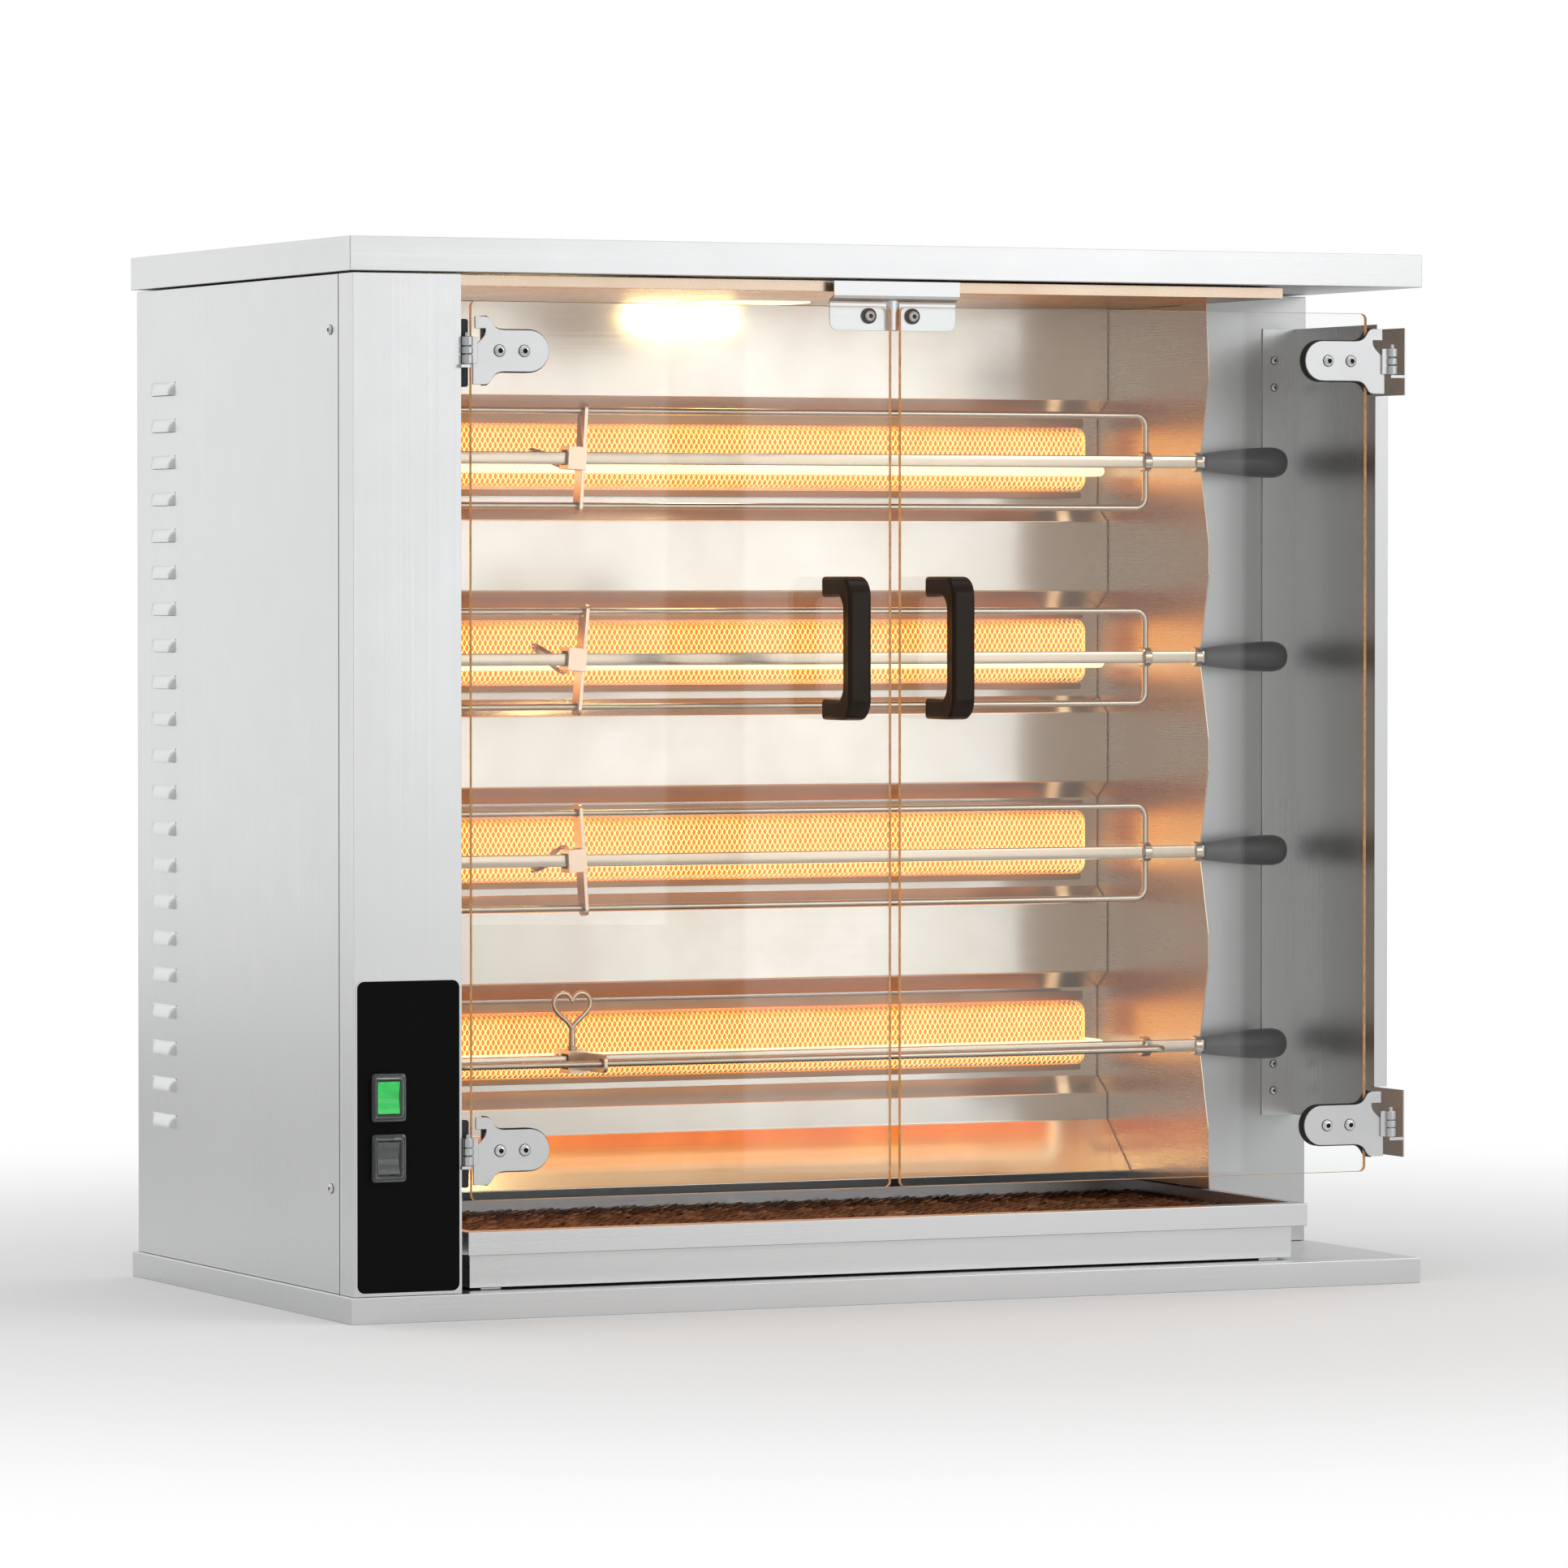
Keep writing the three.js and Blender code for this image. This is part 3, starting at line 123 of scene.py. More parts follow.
SURROUND = 0.62          # brightness that the steel mirrors
SKY_LIFT = 0.22          # how much brighter it is overhead
SKY_TILT = 0.04          # and towards the right
FLOOR_RADIUS = 1.9
FLOOR_FADE = 0.75        # from here out the floor melts into the surround
EYE = Vector((-2.85968, -6.32957, 0.58890))
EYE_TURN = radians(24.3176)
EYE_DROP = radians(1.4123)
LENS = 190.29

scene = bpy.context.scene
scene.view_settings.view_transform = "Standard"
scene.view_settings.look = "None"

world = bpy.data.worlds.new("white_studio")
world.use_nodes = True
scene.world = world
sky = Tree(world.node_tree)
way = sky.node("ShaderNodeSeparateXYZ", None, sky.node("ShaderNodeTexCoord").out("Generated"))
lit = way.out("Z") * SKY_LIFT + way.out("X") * SKY_TILT + SURROUND
seen = sky.node("ShaderNodeLightPath").out("Is Camera Ray")
strength = seen + (1 - seen) * lit
sky.node("ShaderNodeOutputWorld", None,
         sky.node("ShaderNodeBackground", None, (1, 1, 1, 1), strength))


def area_light(name, place, aim, size, power, colour=(1, 1, 1)):
    """A flat lamp in metres and watts, turned to face its aim."""
    lamp = bpy.data.lights.new(name, "AREA")
    lamp.shape, lamp.size, lamp.size_y = "RECTANGLE", *size
    lamp.energy, lamp.color = power, colour
    holder = bpy.data.objects.new(name, lamp)
    scene.collection.objects.link(holder)
    holder.location = place
    holder.rotation_euler = (Vector(aim) - Vector(place)).to_track_quat("-Z", "Y").to_euler()


area_light("rear_left_soft_box", (-1.6, 2.7, 1.15), (-0.48, 0, 0.5), (1.8, 2.2), 6.5)
area_light("front_soft_box", (0.85, -3.4, 0.72), (-0.4, -0.2, 0.5), (0.6, 1.1), 2.3)
area_light("front_right_soft_box", (1.62, -3.4, 0.55), (0.05, 0.1, 0.45), (0.62, 1.4), 2.9)
area_light("high_right_soft_box", (2.4, -3.4, 1.75), (0.2, -0.2, 0.8), (1.4, 1.1), 12)
area_light("overhead_soft_box", (0.0, -0.4, 3.2), (0, 0, 0.4), (2.4, 1.6), 12)

camera = bpy.data.objects.new("camera", bpy.data.cameras.new("camera"))
scene.collection.objects.link(camera)
scene.camera = camera
camera.data.lens, camera.data.sensor_width = LENS, 36
camera.data.clip_start, camera.data.clip_end = 0.1, 100
camera.location = EYE
camera.rotation_euler = (radians(90) - EYE_DROP, 0, -EYE_TURN)


def material(name):
    """A new material, its tree, and the object's own coordinates for its patterns to follow."""
    made = bpy.data.materials.new(name)
    made.use_nodes = True
    tree = Tree(made.node_tree)
    return made, tree, tree.node("ShaderNodeTexCoord").out("Object")


def surface(tree, **sockets):
    """Ends a material's tree in one Principled shader with these sockets."""
    shader = tree.node("ShaderNodeBsdfPrincipled", None, **sockets)
    tree.node("ShaderNodeOutputMaterial", None, shader)


floor_paint, tree, ground = material("pale_floor")
far = tree.node("ShaderNodeVectorMath", {"operation": "LENGTH"}, ground).out("Value")
fade = tree.node("ShaderNodeMapRange", {"interpolation_type": "SMOOTHSTEP"}, far,
                 From_Min=FLOOR_FADE, From_Max=FLOOR_RADIUS)
matt = tree.node("ShaderNodeBsdfDiffuse", None, (0.9, 0.9, 0.9, 1))
gone = tree.node("ShaderNodeBsdfTransparent")
tree.node("ShaderNodeOutputMaterial", None, tree.node("ShaderNodeMixShader", None, fade, matt, gone))

floor_shape = bmesh.new()
bmesh.ops.create_circle(floor_shape, cap_ends=True, radius=FLOOR_RADIUS, segments=96)
floor_mesh = bpy.data.meshes.new("floor")
floor_shape.to_mesh(floor_mesh)
floor_shape.free()
floor = bpy.data.objects.new("floor", floor_mesh)
scene.collection.objects.link(floor)
floor_mesh.materials.append(floor_paint)


# ------------------------------------------------------------------ roof and base
# Two shallow trays folded from brushed stainless sheet, the grain running along their edges.
# Their corners are folded and welded, and a narrow lip turns in under each.
MM = 0.001               # shapes are worked out in millimetres and made in metres
GRAIN = 700              # brush lines to the metre
GRAIN_RUN = 1.5          # the same count along the brushing
EASED_ANGLE = 35         # edges sharper than this are rounded


def brushed_steel(name, colour, grain, roughness=0.3, streak=0.07, cloud=0.06, bump=0.05):
    """Brushed sheet, its grain 'upright', or 'level' and turned to run along each side."""
    made, tree, place = material(name)
    stretch = (GRAIN, GRAIN, GRAIN_RUN)
    if grain == "level":
        normal = tree.node("ShaderNodeNewGeometry").out("Normal")
        across = tree.node("ShaderNodeSeparateXYZ", None, normal)
        on_end = across.math("ABSOLUTE", across) > 0.7
        stretch = tree.blend(on_end, (GRAIN_RUN, GRAIN, GRAIN, 1), (GRAIN, GRAIN_RUN, GRAIN, 1))
    lines = tree.node("ShaderNodeVectorMath", {"operation": "MULTIPLY"}, place, stretch)
    grit = tree.noise(lines, 1.0, 4.0, 0.65)
    haze = tree.noise(place, 4.0, 2.0)
    smudge = tree.noise(place, 23.0, 4.0, 0.6)
    tone = 1 + (grit - 0.5) * streak + (haze - 0.5) * cloud
    finish = roughness + (grit - 0.5) * 0.16 + (haze - 0.5) * 0.10 + (smudge - 0.5) * 0.06
    relief = tree.bump(grit, bump, 0.0004)
    surface(tree, Base_Color=tree.scaled(colour, tone), Metallic=1.0, Roughness=finish, Normal=relief)
    return made


def keep(finish, *names, edge=0.4, steps=2):
    """Gives CAD nodes their finish and rounds their sharp edges a little."""
    for name in names:
        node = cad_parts[name]
        for material_slot in node.material_slots:
            material_slot.material = finish
        if edge:
            weld = node.modifiers.new("weld", "WELD")
            weld.merge_threshold = 0.01 * MM
            bevel = node.modifiers.new("eased_edges", "BEVEL")
            bevel.width, bevel.segments = edge * MM, steps
            bevel.limit_method, bevel.angle_limit = "ANGLE", radians(EASED_ANGLE)


STEEL = (0.655, 0.66, 0.665)
level_steel = brushed_steel("steel_level_grain", STEEL, "level")
upright_steel = brushed_steel("steel_upright_grain", STEEL, "upright")
keep(level_steel, "base_plate", "roof_panel", edge=0.6, steps=3)


# ------------------------------------------------------------------ left side panel
# One brushed sheet with a column of louvres: lanced on their lower edge and pressed out as hoods.
# It is screwed to the column's return near its front edge, at the top and at the bottom.
LOUVRES = 21
HOOD_LONG, HOOD_HIGH, HOOD_RISE = 58, 11, 3.9
HOOD_SKIN = 0.9          # thickness of the drawn metal
HOOD_END = 0.2           # share of a hood's length over which each end is drawn in
HOOD_ROWS, HOOD_STOPS = 8, 20                # facets up a hood and along it
HOOD_FROM_REAR = 36
TOP_HOOD_DROP, LOW_HOOD_RISE = 83, 114.7     # first and last hood from the sheet's ends
HOOD_LAP = 2             # the hood covers its slot's edges by this much
SHEET = 1.2
COLUMN_GAP = 1.5         # the sheet's edge to the column's fold


def box(node):
    """A CAD node's lowest and highest corners in millimetres."""
    low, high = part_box(node)
    return low / MM, high / MM


def piece(name, shape, body, slot, *finishes, **more):
    """Makes a bmesh in millimetres a finished piece that rides on a body."""
    bmesh.ops.remove_doubles(shape, verts=shape.verts, dist=1e-4)
    bmesh.ops.recalc_face_normals(shape, faces=shape.faces)
    bmesh.ops.scale(shape, vec=(MM, MM, MM), verts=shape.verts)
    mesh = bpy.data.meshes.new(name)
    shape.to_mesh(mesh)
    shape.free()
    finished(name, mesh, body, slot, *finishes, **more)


def finished(name, mesh, body, slot, *finishes, replaces=(), edge=0, steps=2, smooth=EASED_ANGLE):
    """Links a mesh as an object with its finishes, eased edges and CAD body."""
    mesh.shade_smooth()
    mesh.set_sharp_from_angle(angle=radians(smooth))
    for finish in finishes:
        if finish.name not in mesh.materials:
            mesh.materials.append(finish)
    made = bpy.data.objects.new(name, mesh)
    scene.collection.objects.link(made)
    if edge:
        bevel = made.modifiers.new("eased_edges", "BEVEL")
        bevel.width, bevel.segments = edge * MM, steps
        bevel.limit_method, bevel.angle_limit = "ANGLE", radians(smooth)
        bevel.harden_normals = True
    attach(made, body)
    if replaces:
        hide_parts(*replaces)


def copies_tree():
    """Geometry nodes: copies of the shape at each vertex of a points object, all in one finish."""
    group = bpy.data.node_groups.new("copies_at_points", "GeometryNodeTree")
    for name, kind in (("Shape", "NodeSocketGeometry"), ("Points", "NodeSocketObject"),
                       ("Finish", "NodeSocketMaterial")):
        group.interface.new_socket(name, in_out="INPUT", socket_type=kind)
    group.interface.new_socket("Copies", in_out="OUTPUT", socket_type="NodeSocketGeometry")
    tree = Tree(group)
    given = tree.node("NodeGroupInput")
    points = tree.node("GeometryNodeObjectInfo", None, given.out("Points")).out("Geometry")
    placed = tree.node("GeometryNodeInstanceOnPoints", None, points, Instance=given.out("Shape"))
    real = tree.node("GeometryNodeRealizeInstances", None, placed)
    tree.node("NodeGroupOutput", None,
              tree.node("GeometryNodeSetMaterial", None, real, Material=given.out("Finish")))
    return group


COPIES = copies_tree()


def settle(group, holder, inputs):
    """Runs a geometry node group on an object and gives back the plain mesh it makes."""
    modifier = holder.modifiers.new(group.name, "NODES")
    modifier.node_group = group
    for item in group.interface.items_tree:
        if item.in_out == "INPUT" and item.name in inputs:
            modifier[item.identifier] = inputs[item.name]
    bpy.context.view_layer.update()
    ready = holder.evaluated_get(bpy.context.evaluated_depsgraph_get())
    mesh = bpy.data.meshes.new_from_object(ready)
    holder.modifiers.remove(modifier)
    bpy.data.objects.remove(holder)
    return mesh


def loose_object(name, shape):
    """A working object from a bmesh in millimetres, which never stays in the scene."""
    bmesh.ops.scale(shape, vec=(MM, MM, MM), verts=shape.verts)
    mesh = bpy.data.meshes.new(name)
    shape.to_mesh(mesh)
    shape.free()
    made = bpy.data.objects.new(name, mesh)
    scene.collection.objects.link(made)
    return made


def copies(name, shape, places, body, slot, finish, **more):
    """One piece that is a shape repeated at each place, by geometry nodes."""
    bmesh.ops.recalc_face_normals(shape, faces=shape.faces)
    spots = bmesh.new()
    for place in places:
        spots.verts.new(place)
    points = loose_object(name + "_points", spots)
    mesh = settle(COPIES, loose_object(name + "_shape", shape), {"Points": points, "Finish": finish})
    bpy.data.objects.remove(points)
    finished(name, mesh, body, slot, finish, **more)


def quads(shape, rings, around=False, finish=0):
    """Faces between neighbouring rings of vertices; around closes each ring."""
    count = len(rings[0])
    for one, two in zip(rings, rings[1:]):
        for i in range(count if around else count - 1):
            j = (i + 1) % count
            shape.faces.new((one[i], one[j], two[j], two[i])).material_index = finish


panel_low, panel_high = box("left_side_panel")
panel_out = panel_high.x - SHEET
hood_rear = panel_high.y - HOOD_FROM_REAR
hood_front = hood_rear - HOOD_LONG
top_hood = panel_high.z - TOP_HOOD_DROP
low_hood = panel_low.z + LOW_HOOD_RISE
hood_z = [top_hood + (low_hood - top_hood) * i / (LOUVRES - 1) for i in range(LOUVRES)]

sheet = bmesh.new()
slot_ends = (-HOOD_HIGH / 2, HOOD_HIGH / 2 - HOOD_LAP)
across = [panel_low.y + COLUMN_GAP, hood_front + HOOD_LAP, hood_rear - HOOD_LAP, panel_high.y]
upwards = [panel_low.z, *(z + end for z in sorted(hood_z) for end in slot_ends), panel_high.z]
grid = [[sheet.verts.new((panel_out, y, z)) for y in across] for z in upwards]
for row in range(len(upwards) - 1):
    for column in range(3):
        slot_here = column == 1 and row % 2 == 1
        if not slot_here:
            sheet.faces.new((grid[row][column], grid[row][column + 1],
                             grid[row + 1][column + 1], grid[row + 1][column]))
bmesh.ops.recalc_face_normals(sheet, faces=sheet.faces)
walls = bmesh.ops.extrude_face_region(sheet, geom=list(sheet.faces))["geom"]
bmesh.ops.translate(sheet, vec=(SHEET, 0, 0), verts=[v for v in walls if isinstance(v, bmesh.types.BMVert)])
piece("side_sheet", sheet, "cabinet", "casing_steel", upright_steel,
      replaces=["left_side_panel"], edge=0.35)


def hood(skin):
    """Rounded hood over the slot, its ends drawn in and its lower edge open."""
    rows = []
    for step in range(HOOD_ROWS + 1):
        up = step / HOOD_ROWS
        bulge = cos(up * pi / 2) ** 0.7 * (HOOD_RISE - skin)
        row = []
        for stop in range(HOOD_STOPS + 1):
            along = stop / HOOD_STOPS
            ends = min(1.0, min(along, 1 - along) / HOOD_END)
            rise = bulge * sin(ends * pi / 2)
            row.append((-rise + (0.6 if skin else 0), (along - 0.5) * (HOOD_LONG - 2 * skin),
                        -HOOD_HIGH / 2 + up * (HOOD_HIGH - skin)))
        rows.append(row)
    return rows


louvre = bmesh.new()
outer, inner = ([[louvre.verts.new(point) for point in row] for row in hood(skin)] for skin in (0, HOOD_SKIN))
quads(louvre, outer)
quads(louvre, [row[::-1] for row in inner])
for near, far in ((outer[0], inner[0]), (outer[-1], inner[-1]),
                  ([row[0] for row in outer], [row[0] for row in inner]),
                  ([row[-1] for row in outer], [row[-1] for row in inner])):
    quads(louvre, [near, far])
copies("side_louvres", louvre, [(panel_out, (hood_front + hood_rear) / 2, z) for z in hood_z],
       "cabinet", "casing_steel", upright_steel, smooth=50)


def turned(shape, profile, centre, axis, sides=24):
    """A closed body turned about an axis from pairs of distance along it and radius."""
    axis = Vector(axis).normalized()
    side = axis.orthogonal().normalized()
    other = axis.cross(side)
    rings = [[shape.verts.new(Vector(centre) + axis * along
                              + radius * (side * cos(2 * pi * i / sides) + other * sin(2 * pi * i / sides)))
              for i in range(sides)] for along, radius in profile]
    quads(shape, rings, around=True)
    for ring in (rings[0], rings[-1]):
        shape.faces.new(ring)


SCREW_SIDES = 18


def hexagon(radius):
    """How far the outline of a hexagon is from its middle, at each side of a screw's head."""
    turns = [2 * pi * i / SCREW_SIDES for i in range(SCREW_SIDES)]
    return [radius * cos(pi / 6) / cos(turn % (pi / 3) - pi / 6) for turn in turns]


def button_screw(axis, head, rise, socket):
    """A button head with a hexagonal hole, facing along the axis."""
    shape = bmesh.new()
    axis = Vector(axis)
    side = axis.orthogonal().normalized()
    other = axis.cross(side)
    dome = [(-0.3, head / 2), (rise * 0.25, head / 2)]
    dome += [(rise * (0.25 + 0.75 * sin(a)), head / 2 * cos(a * 0.8)) for a in (0.4, 0.8, 1.2)]
    levels = [(up, [reach] * SCREW_SIDES) for up, reach in dome]
    levels += [(rise, hexagon(socket / 2 * 1.12)), (rise * 0.1, hexagon(socket / 2))]
    rings = []
    for up, ring in levels:
        arms = [(reach, 2 * pi * i / SCREW_SIDES) for i, reach in enumerate(ring)]
        rings.append([shape.verts.new(axis * up + reach * (side * cos(turn) + other * sin(turn)))
                      for reach, turn in arms])
    quads(shape, rings, around=True)
    shape.faces.new(rings[0])
    shape.faces.new(rings[-1])
    return shape


def screws(name, axis, places, body, slot, head=7.6, rise=2.2, socket=3.2):
    """Button-head screws, with painted shade: a dark disc on the floor of each socket and a dark ring round
    each head, where shade falls.
    """
    copies(name, button_screw(axis, head, rise, socket), places, body, slot, screw_steel)
    painted_shade = bmesh.new()
    socket_floor = [(rise * 0.2, socket * 0.42), (rise * 0.55, socket * 0.42)]
    seat_line = [(-0.05, head / 2 + 0.35), (0.25, head / 2 + 0.35)]
    turned(painted_shade, socket_floor, (0, 0, 0), axis, sides=6)
    turned(painted_shade, seat_line, (0, 0, 0), axis, sides=SCREW_SIDES)
    copies(name + "_shadows", painted_shade, places, body, slot, socket_painted_shade)


def bright_metal(name, colour, roughness, speck=300.0):
    """Turned, drawn or plated metal with faint handling marks."""
    made, tree, place = material(name)
    cloud = tree.noise(place, 40.0, 4.0, 0.6)
    fine = tree.noise(place, speck, 3.0)
    relief = tree.bump(fine, 0.03, 0.0003)
    surface(tree, Base_Color=tree.scaled(colour, 0.92 + cloud * 0.16), Metallic=1.0,
            Roughness=roughness + (cloud - 0.5) * 0.16 + (fine - 0.5) * 0.08, Normal=relief)
    return made


screw_steel = bright_metal("screw_steel", (0.72, 0.72, 0.73), 0.2)
# Painted shade: a near-black finish for the pieces set in the screws' sockets and round their heads, where
# shade falls.
socket_painted_shade = bright_metal("socket_painted_shade", (0.02, 0.02, 0.021), 0.5)
SCREW_FROM_FRONT = 18
SCREW_FROM_TOP, SCREW_FROM_BOTTOM = 44, 83
screws("side_screws", (-1, 0, 0),
       [(panel_out, panel_low.y + SCREW_FROM_FRONT, z)
        for z in (panel_high.z - SCREW_FROM_TOP, panel_low.z + SCREW_FROM_BOTTOM)],
       "cabinet", "casing_steel")


# ------------------------------------------------------------------ control column
# A folded channel with an upright grain. Its lower face carries a black film label, ringed by a pale grey
# border that is a painted highlight.
# The label is a matt screen-printed film, stuck on round the two switch cut-outs.
keep(upright_steel, "front_column", edge=0.5, steps=3)

label_film, tree, place = material("label_film")
sand = tree.noise(place, 1500.0, 2.0, 0.7)
wear = tree.noise(place, 18.0, 3.0)
surface(tree, Base_Color=tree.scaled((0.004, 0.004, 0.0043), 0.55 + sand * 0.9), Specular_IOR_Level=0.05,
        Roughness=0.5 + (sand - 0.5) * 0.2 + (wear - 0.5) * 0.1,
        Normal=tree.bump(sand, 0.25, 0.0002))
keep(label_film, "control_label", edge=0.25)


def rounded(u, v, radius, steps=6):
    """The points of a rectangle with round corners."""
    points = []
    for k, (cu, cv) in enumerate(((u[1], v[1]), (u[0], v[1]), (u[0], v[0]), (u[1], v[0]))):
        cu += radius * (-1 if cu == u[1] else 1)
        cv += radius * (-1 if cv == v[1] else 1)
        for i in range(steps + 1):
            turn = (k + i / steps) * pi / 2
            points.append((cu + radius * cos(turn), cv + radius * sin(turn)))
    return points


def grown(low, high, grow, radius):
    """The round-cornered front view of a box, larger by a margin all round."""
    return rounded((low.x - grow, high.x + grow), (low.z - grow, high.z + grow), radius)


ORDERS = {"x": (2, 0, 1), "y": (0, 2, 1), "z": (0, 1, 2)}


def prism(shape, points, span, axis="y", finish=0, hole=None):
    """A closed body with that outline, and perhaps a like hole, drawn along an axis."""
    def ring(outline, w):
        return [shape.verts.new([(u, v, w)[k] for k in ORDERS[axis]]) for u, v in outline]
    ends = [ring(points, w) for w in span]
    quads(shape, ends, around=True, finish=finish)
    if hole is None:
        for end in ends:
            shape.faces.new(end).material_index = finish
        return
    inner_ends = [ring(hole, w) for w in span]
    quads(shape, inner_ends, around=True, finish=finish)
    for end, inner_end in zip(ends, inner_ends):
        quads(shape, [end, inner_end], around=True, finish=finish)


LABEL_EDGE = 0.9
LABEL_CORNER = 6
label_low, label_high = box("control_label")
# Painted highlight: a light grey ring round the label that stands in for the bright line of light along its
# edge.
label_painted_highlight, tree, place = material("label_edge_painted_highlight")
edge_speckle = tree.noise(place, 300.0)
surface(tree, Base_Color=tree.scaled((0.82, 0.82, 0.82), 0.95 + edge_speckle * 0.1), Roughness=0.25)
border = bmesh.new()
prism(border, grown(label_low, label_high, LABEL_EDGE, LABEL_CORNER + LABEL_EDGE),
      (label_low.y + 0.1, label_high.y), hole=grown(label_low, label_high, 0.05, LABEL_CORNER))
piece("label_border", border, "cabinet", "casing_steel", label_painted_highlight, edge=0.15)


# ------------------------------------------------------------------ rocker switches
# Two snap-in rocker switches, a lit green one over a smoky clear one, each under a splash cap.
# The bezels are moulded black, and the caps are clear silicone with a flange round a raised dome.
def gloss_plastic(name, colour, glow=None, roughness=0.12):
    """Polished moulded plastic, perhaps lit from behind."""
    made, tree, place = material(name)
    depth = tree.noise(place, 120.0, 2.0)
    shade = tree.scaled(colour, 0.8 + depth * 0.4)
    sockets = {"Base_Color": shade, "Roughness": roughness + (depth - 0.5) * 0.08, "IOR": 1.5,
               "Coat_Weight": 0.4, "Coat_Roughness": 0.05}
    if glow:
        sockets |= {"Emission_Color": tree.scaled(glow, 0.55 + depth * 0.9), "Emission_Strength": 0.9}
    surface(tree, **sockets)
    return made


def clear(name, tint, gloss, strength, base):
    """Clear glass or plastic: seen through face on, and mirroring more at a slant."""
    made, tree, _ = material(name)
    facing = tree.node("ShaderNodeLayerWeight", None, 0.35).out("Fresnel")
    share = facing * strength + base
    through = tree.node("ShaderNodeBsdfTransparent", None, (*tint, 1))
    mirror = tree.node("ShaderNodeBsdfPrincipled", None, (0.95, 0.96, 0.96, 1), Metallic=1.0, Roughness=gloss)
    mixed = tree.node("ShaderNodeMixShader", None, share, through, mirror)
    tree.node("ShaderNodeOutputMaterial", None, mixed)
    return made


bezel_plastic = gloss_plastic("bezel_plastic", (0.05, 0.05, 0.052), roughness=0.2)
green_plastic = gloss_plastic("green_plastic", (0.005, 0.30, 0.05), (0.015, 0.62, 0.10))
smoke_plastic = gloss_plastic("smoke_plastic", (0.2, 0.2, 0.205))
cap_silicone = clear("cap_silicone", (0.90, 0.91, 0.91), 0.03, 3.0, -0.11)

BEZEL_PROUD = 1.8        # the rim round the rocker, ahead of the label
ROCKER_DISH = 2.1        # how far its face is hollowed
CAP_PROUD = 7.5
CAP_WALL = 1.3
CAP_LIP = 0.2            # the cap's flange past the bezel
CAP_STEP = 2.2           # its dome in from the bezel's edge
label_face = label_low.y


def rocker_section(low, high):
    """A rocker's side view: a hollowed face and a narrower back."""
    middle, half = (low.z + high.z) / 2, (high.z - low.z) / 2
    across = [i / 10 - 1 for i in range(21)]
    dish = [(low.y + ROCKER_DISH * cos(t * pi / 2) ** 2, middle + t * half) for t in across]
    return dish + [(high.y, middle + half * 0.55), (high.y, middle - half * 0.55)]


def splash_cap(low, high):
    """A domed clear cap: from its flange up over the dome, then down inside it and back out."""
    cap = bmesh.new()
    inside = (-CAP_STEP - CAP_WALL, 2.0)
    layers = [(CAP_LIP, 3.0, 0.1), (CAP_LIP, 3.0, 2.6), (-CAP_STEP, 2.6, 3.4), (-CAP_STEP, 2.6, CAP_PROUD),
              (*inside, CAP_PROUD - 0.01), (*inside, CAP_PROUD - CAP_WALL), (*inside, 2.0), (-0.8, 2.4, 1.9)]
    rings = [[cap.verts.new((u, label_face - proud, v)) for u, v in grown(low, high, grow, corner)]
             for grow, corner, proud in layers]
    quads(cap, rings[:5], around=True)
    cap.faces.new(rings[4])
    cap.faces.new(rings[5][::-1])
    quads(cap, [*rings[5:], rings[0]], around=True)
    return cap


for place_name, slot, rocker_finish in (("upper", "green_rocker", green_plastic),
                                        ("lower", "clear_rocker", smoke_plastic)):
    low, high = box(f"{place_name}_switch_body")
    rock_low, rock_high = box(f"{place_name}_rocker")
    well = rounded((rock_low.x - 0.8, rock_high.x + 0.8), (rock_low.z - 1.0, rock_high.z + 1.0), 1.2)
    neck = rounded((rock_low.x - 1.6, rock_high.x + 1.6), (rock_low.z - 1.8, rock_high.z + 1.8), 1.4)
    bezel = bmesh.new()
    prism(bezel, grown(low, high, 0, 2.5), (label_face - BEZEL_PROUD, label_face - 0.1), hole=well)
    prism(bezel, neck, (label_face - 0.1, high.y), hole=well)
    piece(f"{place_name}_switch_bezel", bezel, "cabinet", "black_plastic", bezel_plastic,
          replaces=[f"{place_name}_switch_body"], edge=0.4)
    rocker = bmesh.new()
    prism(rocker, rocker_section(rock_low, rock_high), (rock_low.x, rock_high.x), axis="x")
    piece(f"{place_name}_rocker_cap", rocker, f"{place_name}_rocker", slot, rocker_finish,
          replaces=[f"{place_name}_rocker"], edge=0.5, steps=3)
    piece(f"{place_name}_splash_cap", splash_cap(low, high), "cabinet", "door_glass", cap_silicone,
          edge=0.5, steps=3)


# ------------------------------------------------------------------ right casing, rear panel and gland
# Plain brushed sheets: a bay front and side in one fold, and a screwed rear panel with a cable gland.
# The rear panel is held by a screw at each corner and halfway along its sides; the gland is black nylon.
# The bay's sheet is the casing's brushed steel made darker: painted shade in the recessed bay.
bay_steel_painted_shade = brushed_steel("bay_steel_painted_shade", (0.50, 0.505, 0.51), "upright", 0.34)
keep(bay_steel_painted_shade, "right_casing", edge=0.5)
keep(upright_steel, "rear_panel", edge=0.3)
REAR_SCREW_INSET = 14
rear_low, rear_high = box("rear_panel")
rear_x = (rear_low.x + REAR_SCREW_INSET, 0, rear_high.x - REAR_SCREW_INSET)
rear_z = (rear_low.z + REAR_SCREW_INSET, (rear_low.z + rear_high.z) / 2, rear_high.z - REAR_SCREW_INSET)
screws("rear_screws", (0, 1, 0),
       [(x, rear_high.y, z) for x in rear_x for z in rear_z if x or z != rear_z[1]],
       "cabinet", "casing_steel")


def matt_plastic(name, colour, roughness=0.45, grain=900.0):
    """Moulded plastic with a spark-eroded grain and a few rubbed places."""
    made, tree, place = material(name)
    grit = tree.noise(place, grain, 2.0, 0.6)
    rub = tree.noise(place, 28.0, 3.0)
    surface(tree, Base_Color=tree.scaled(colour, 0.8 + rub * 0.4),
            Roughness=roughness + (grit - 0.5) * 0.18 - (rub - 0.5) * 0.12,
            Normal=tree.bump(grit, 0.18, 0.0003))
    return made


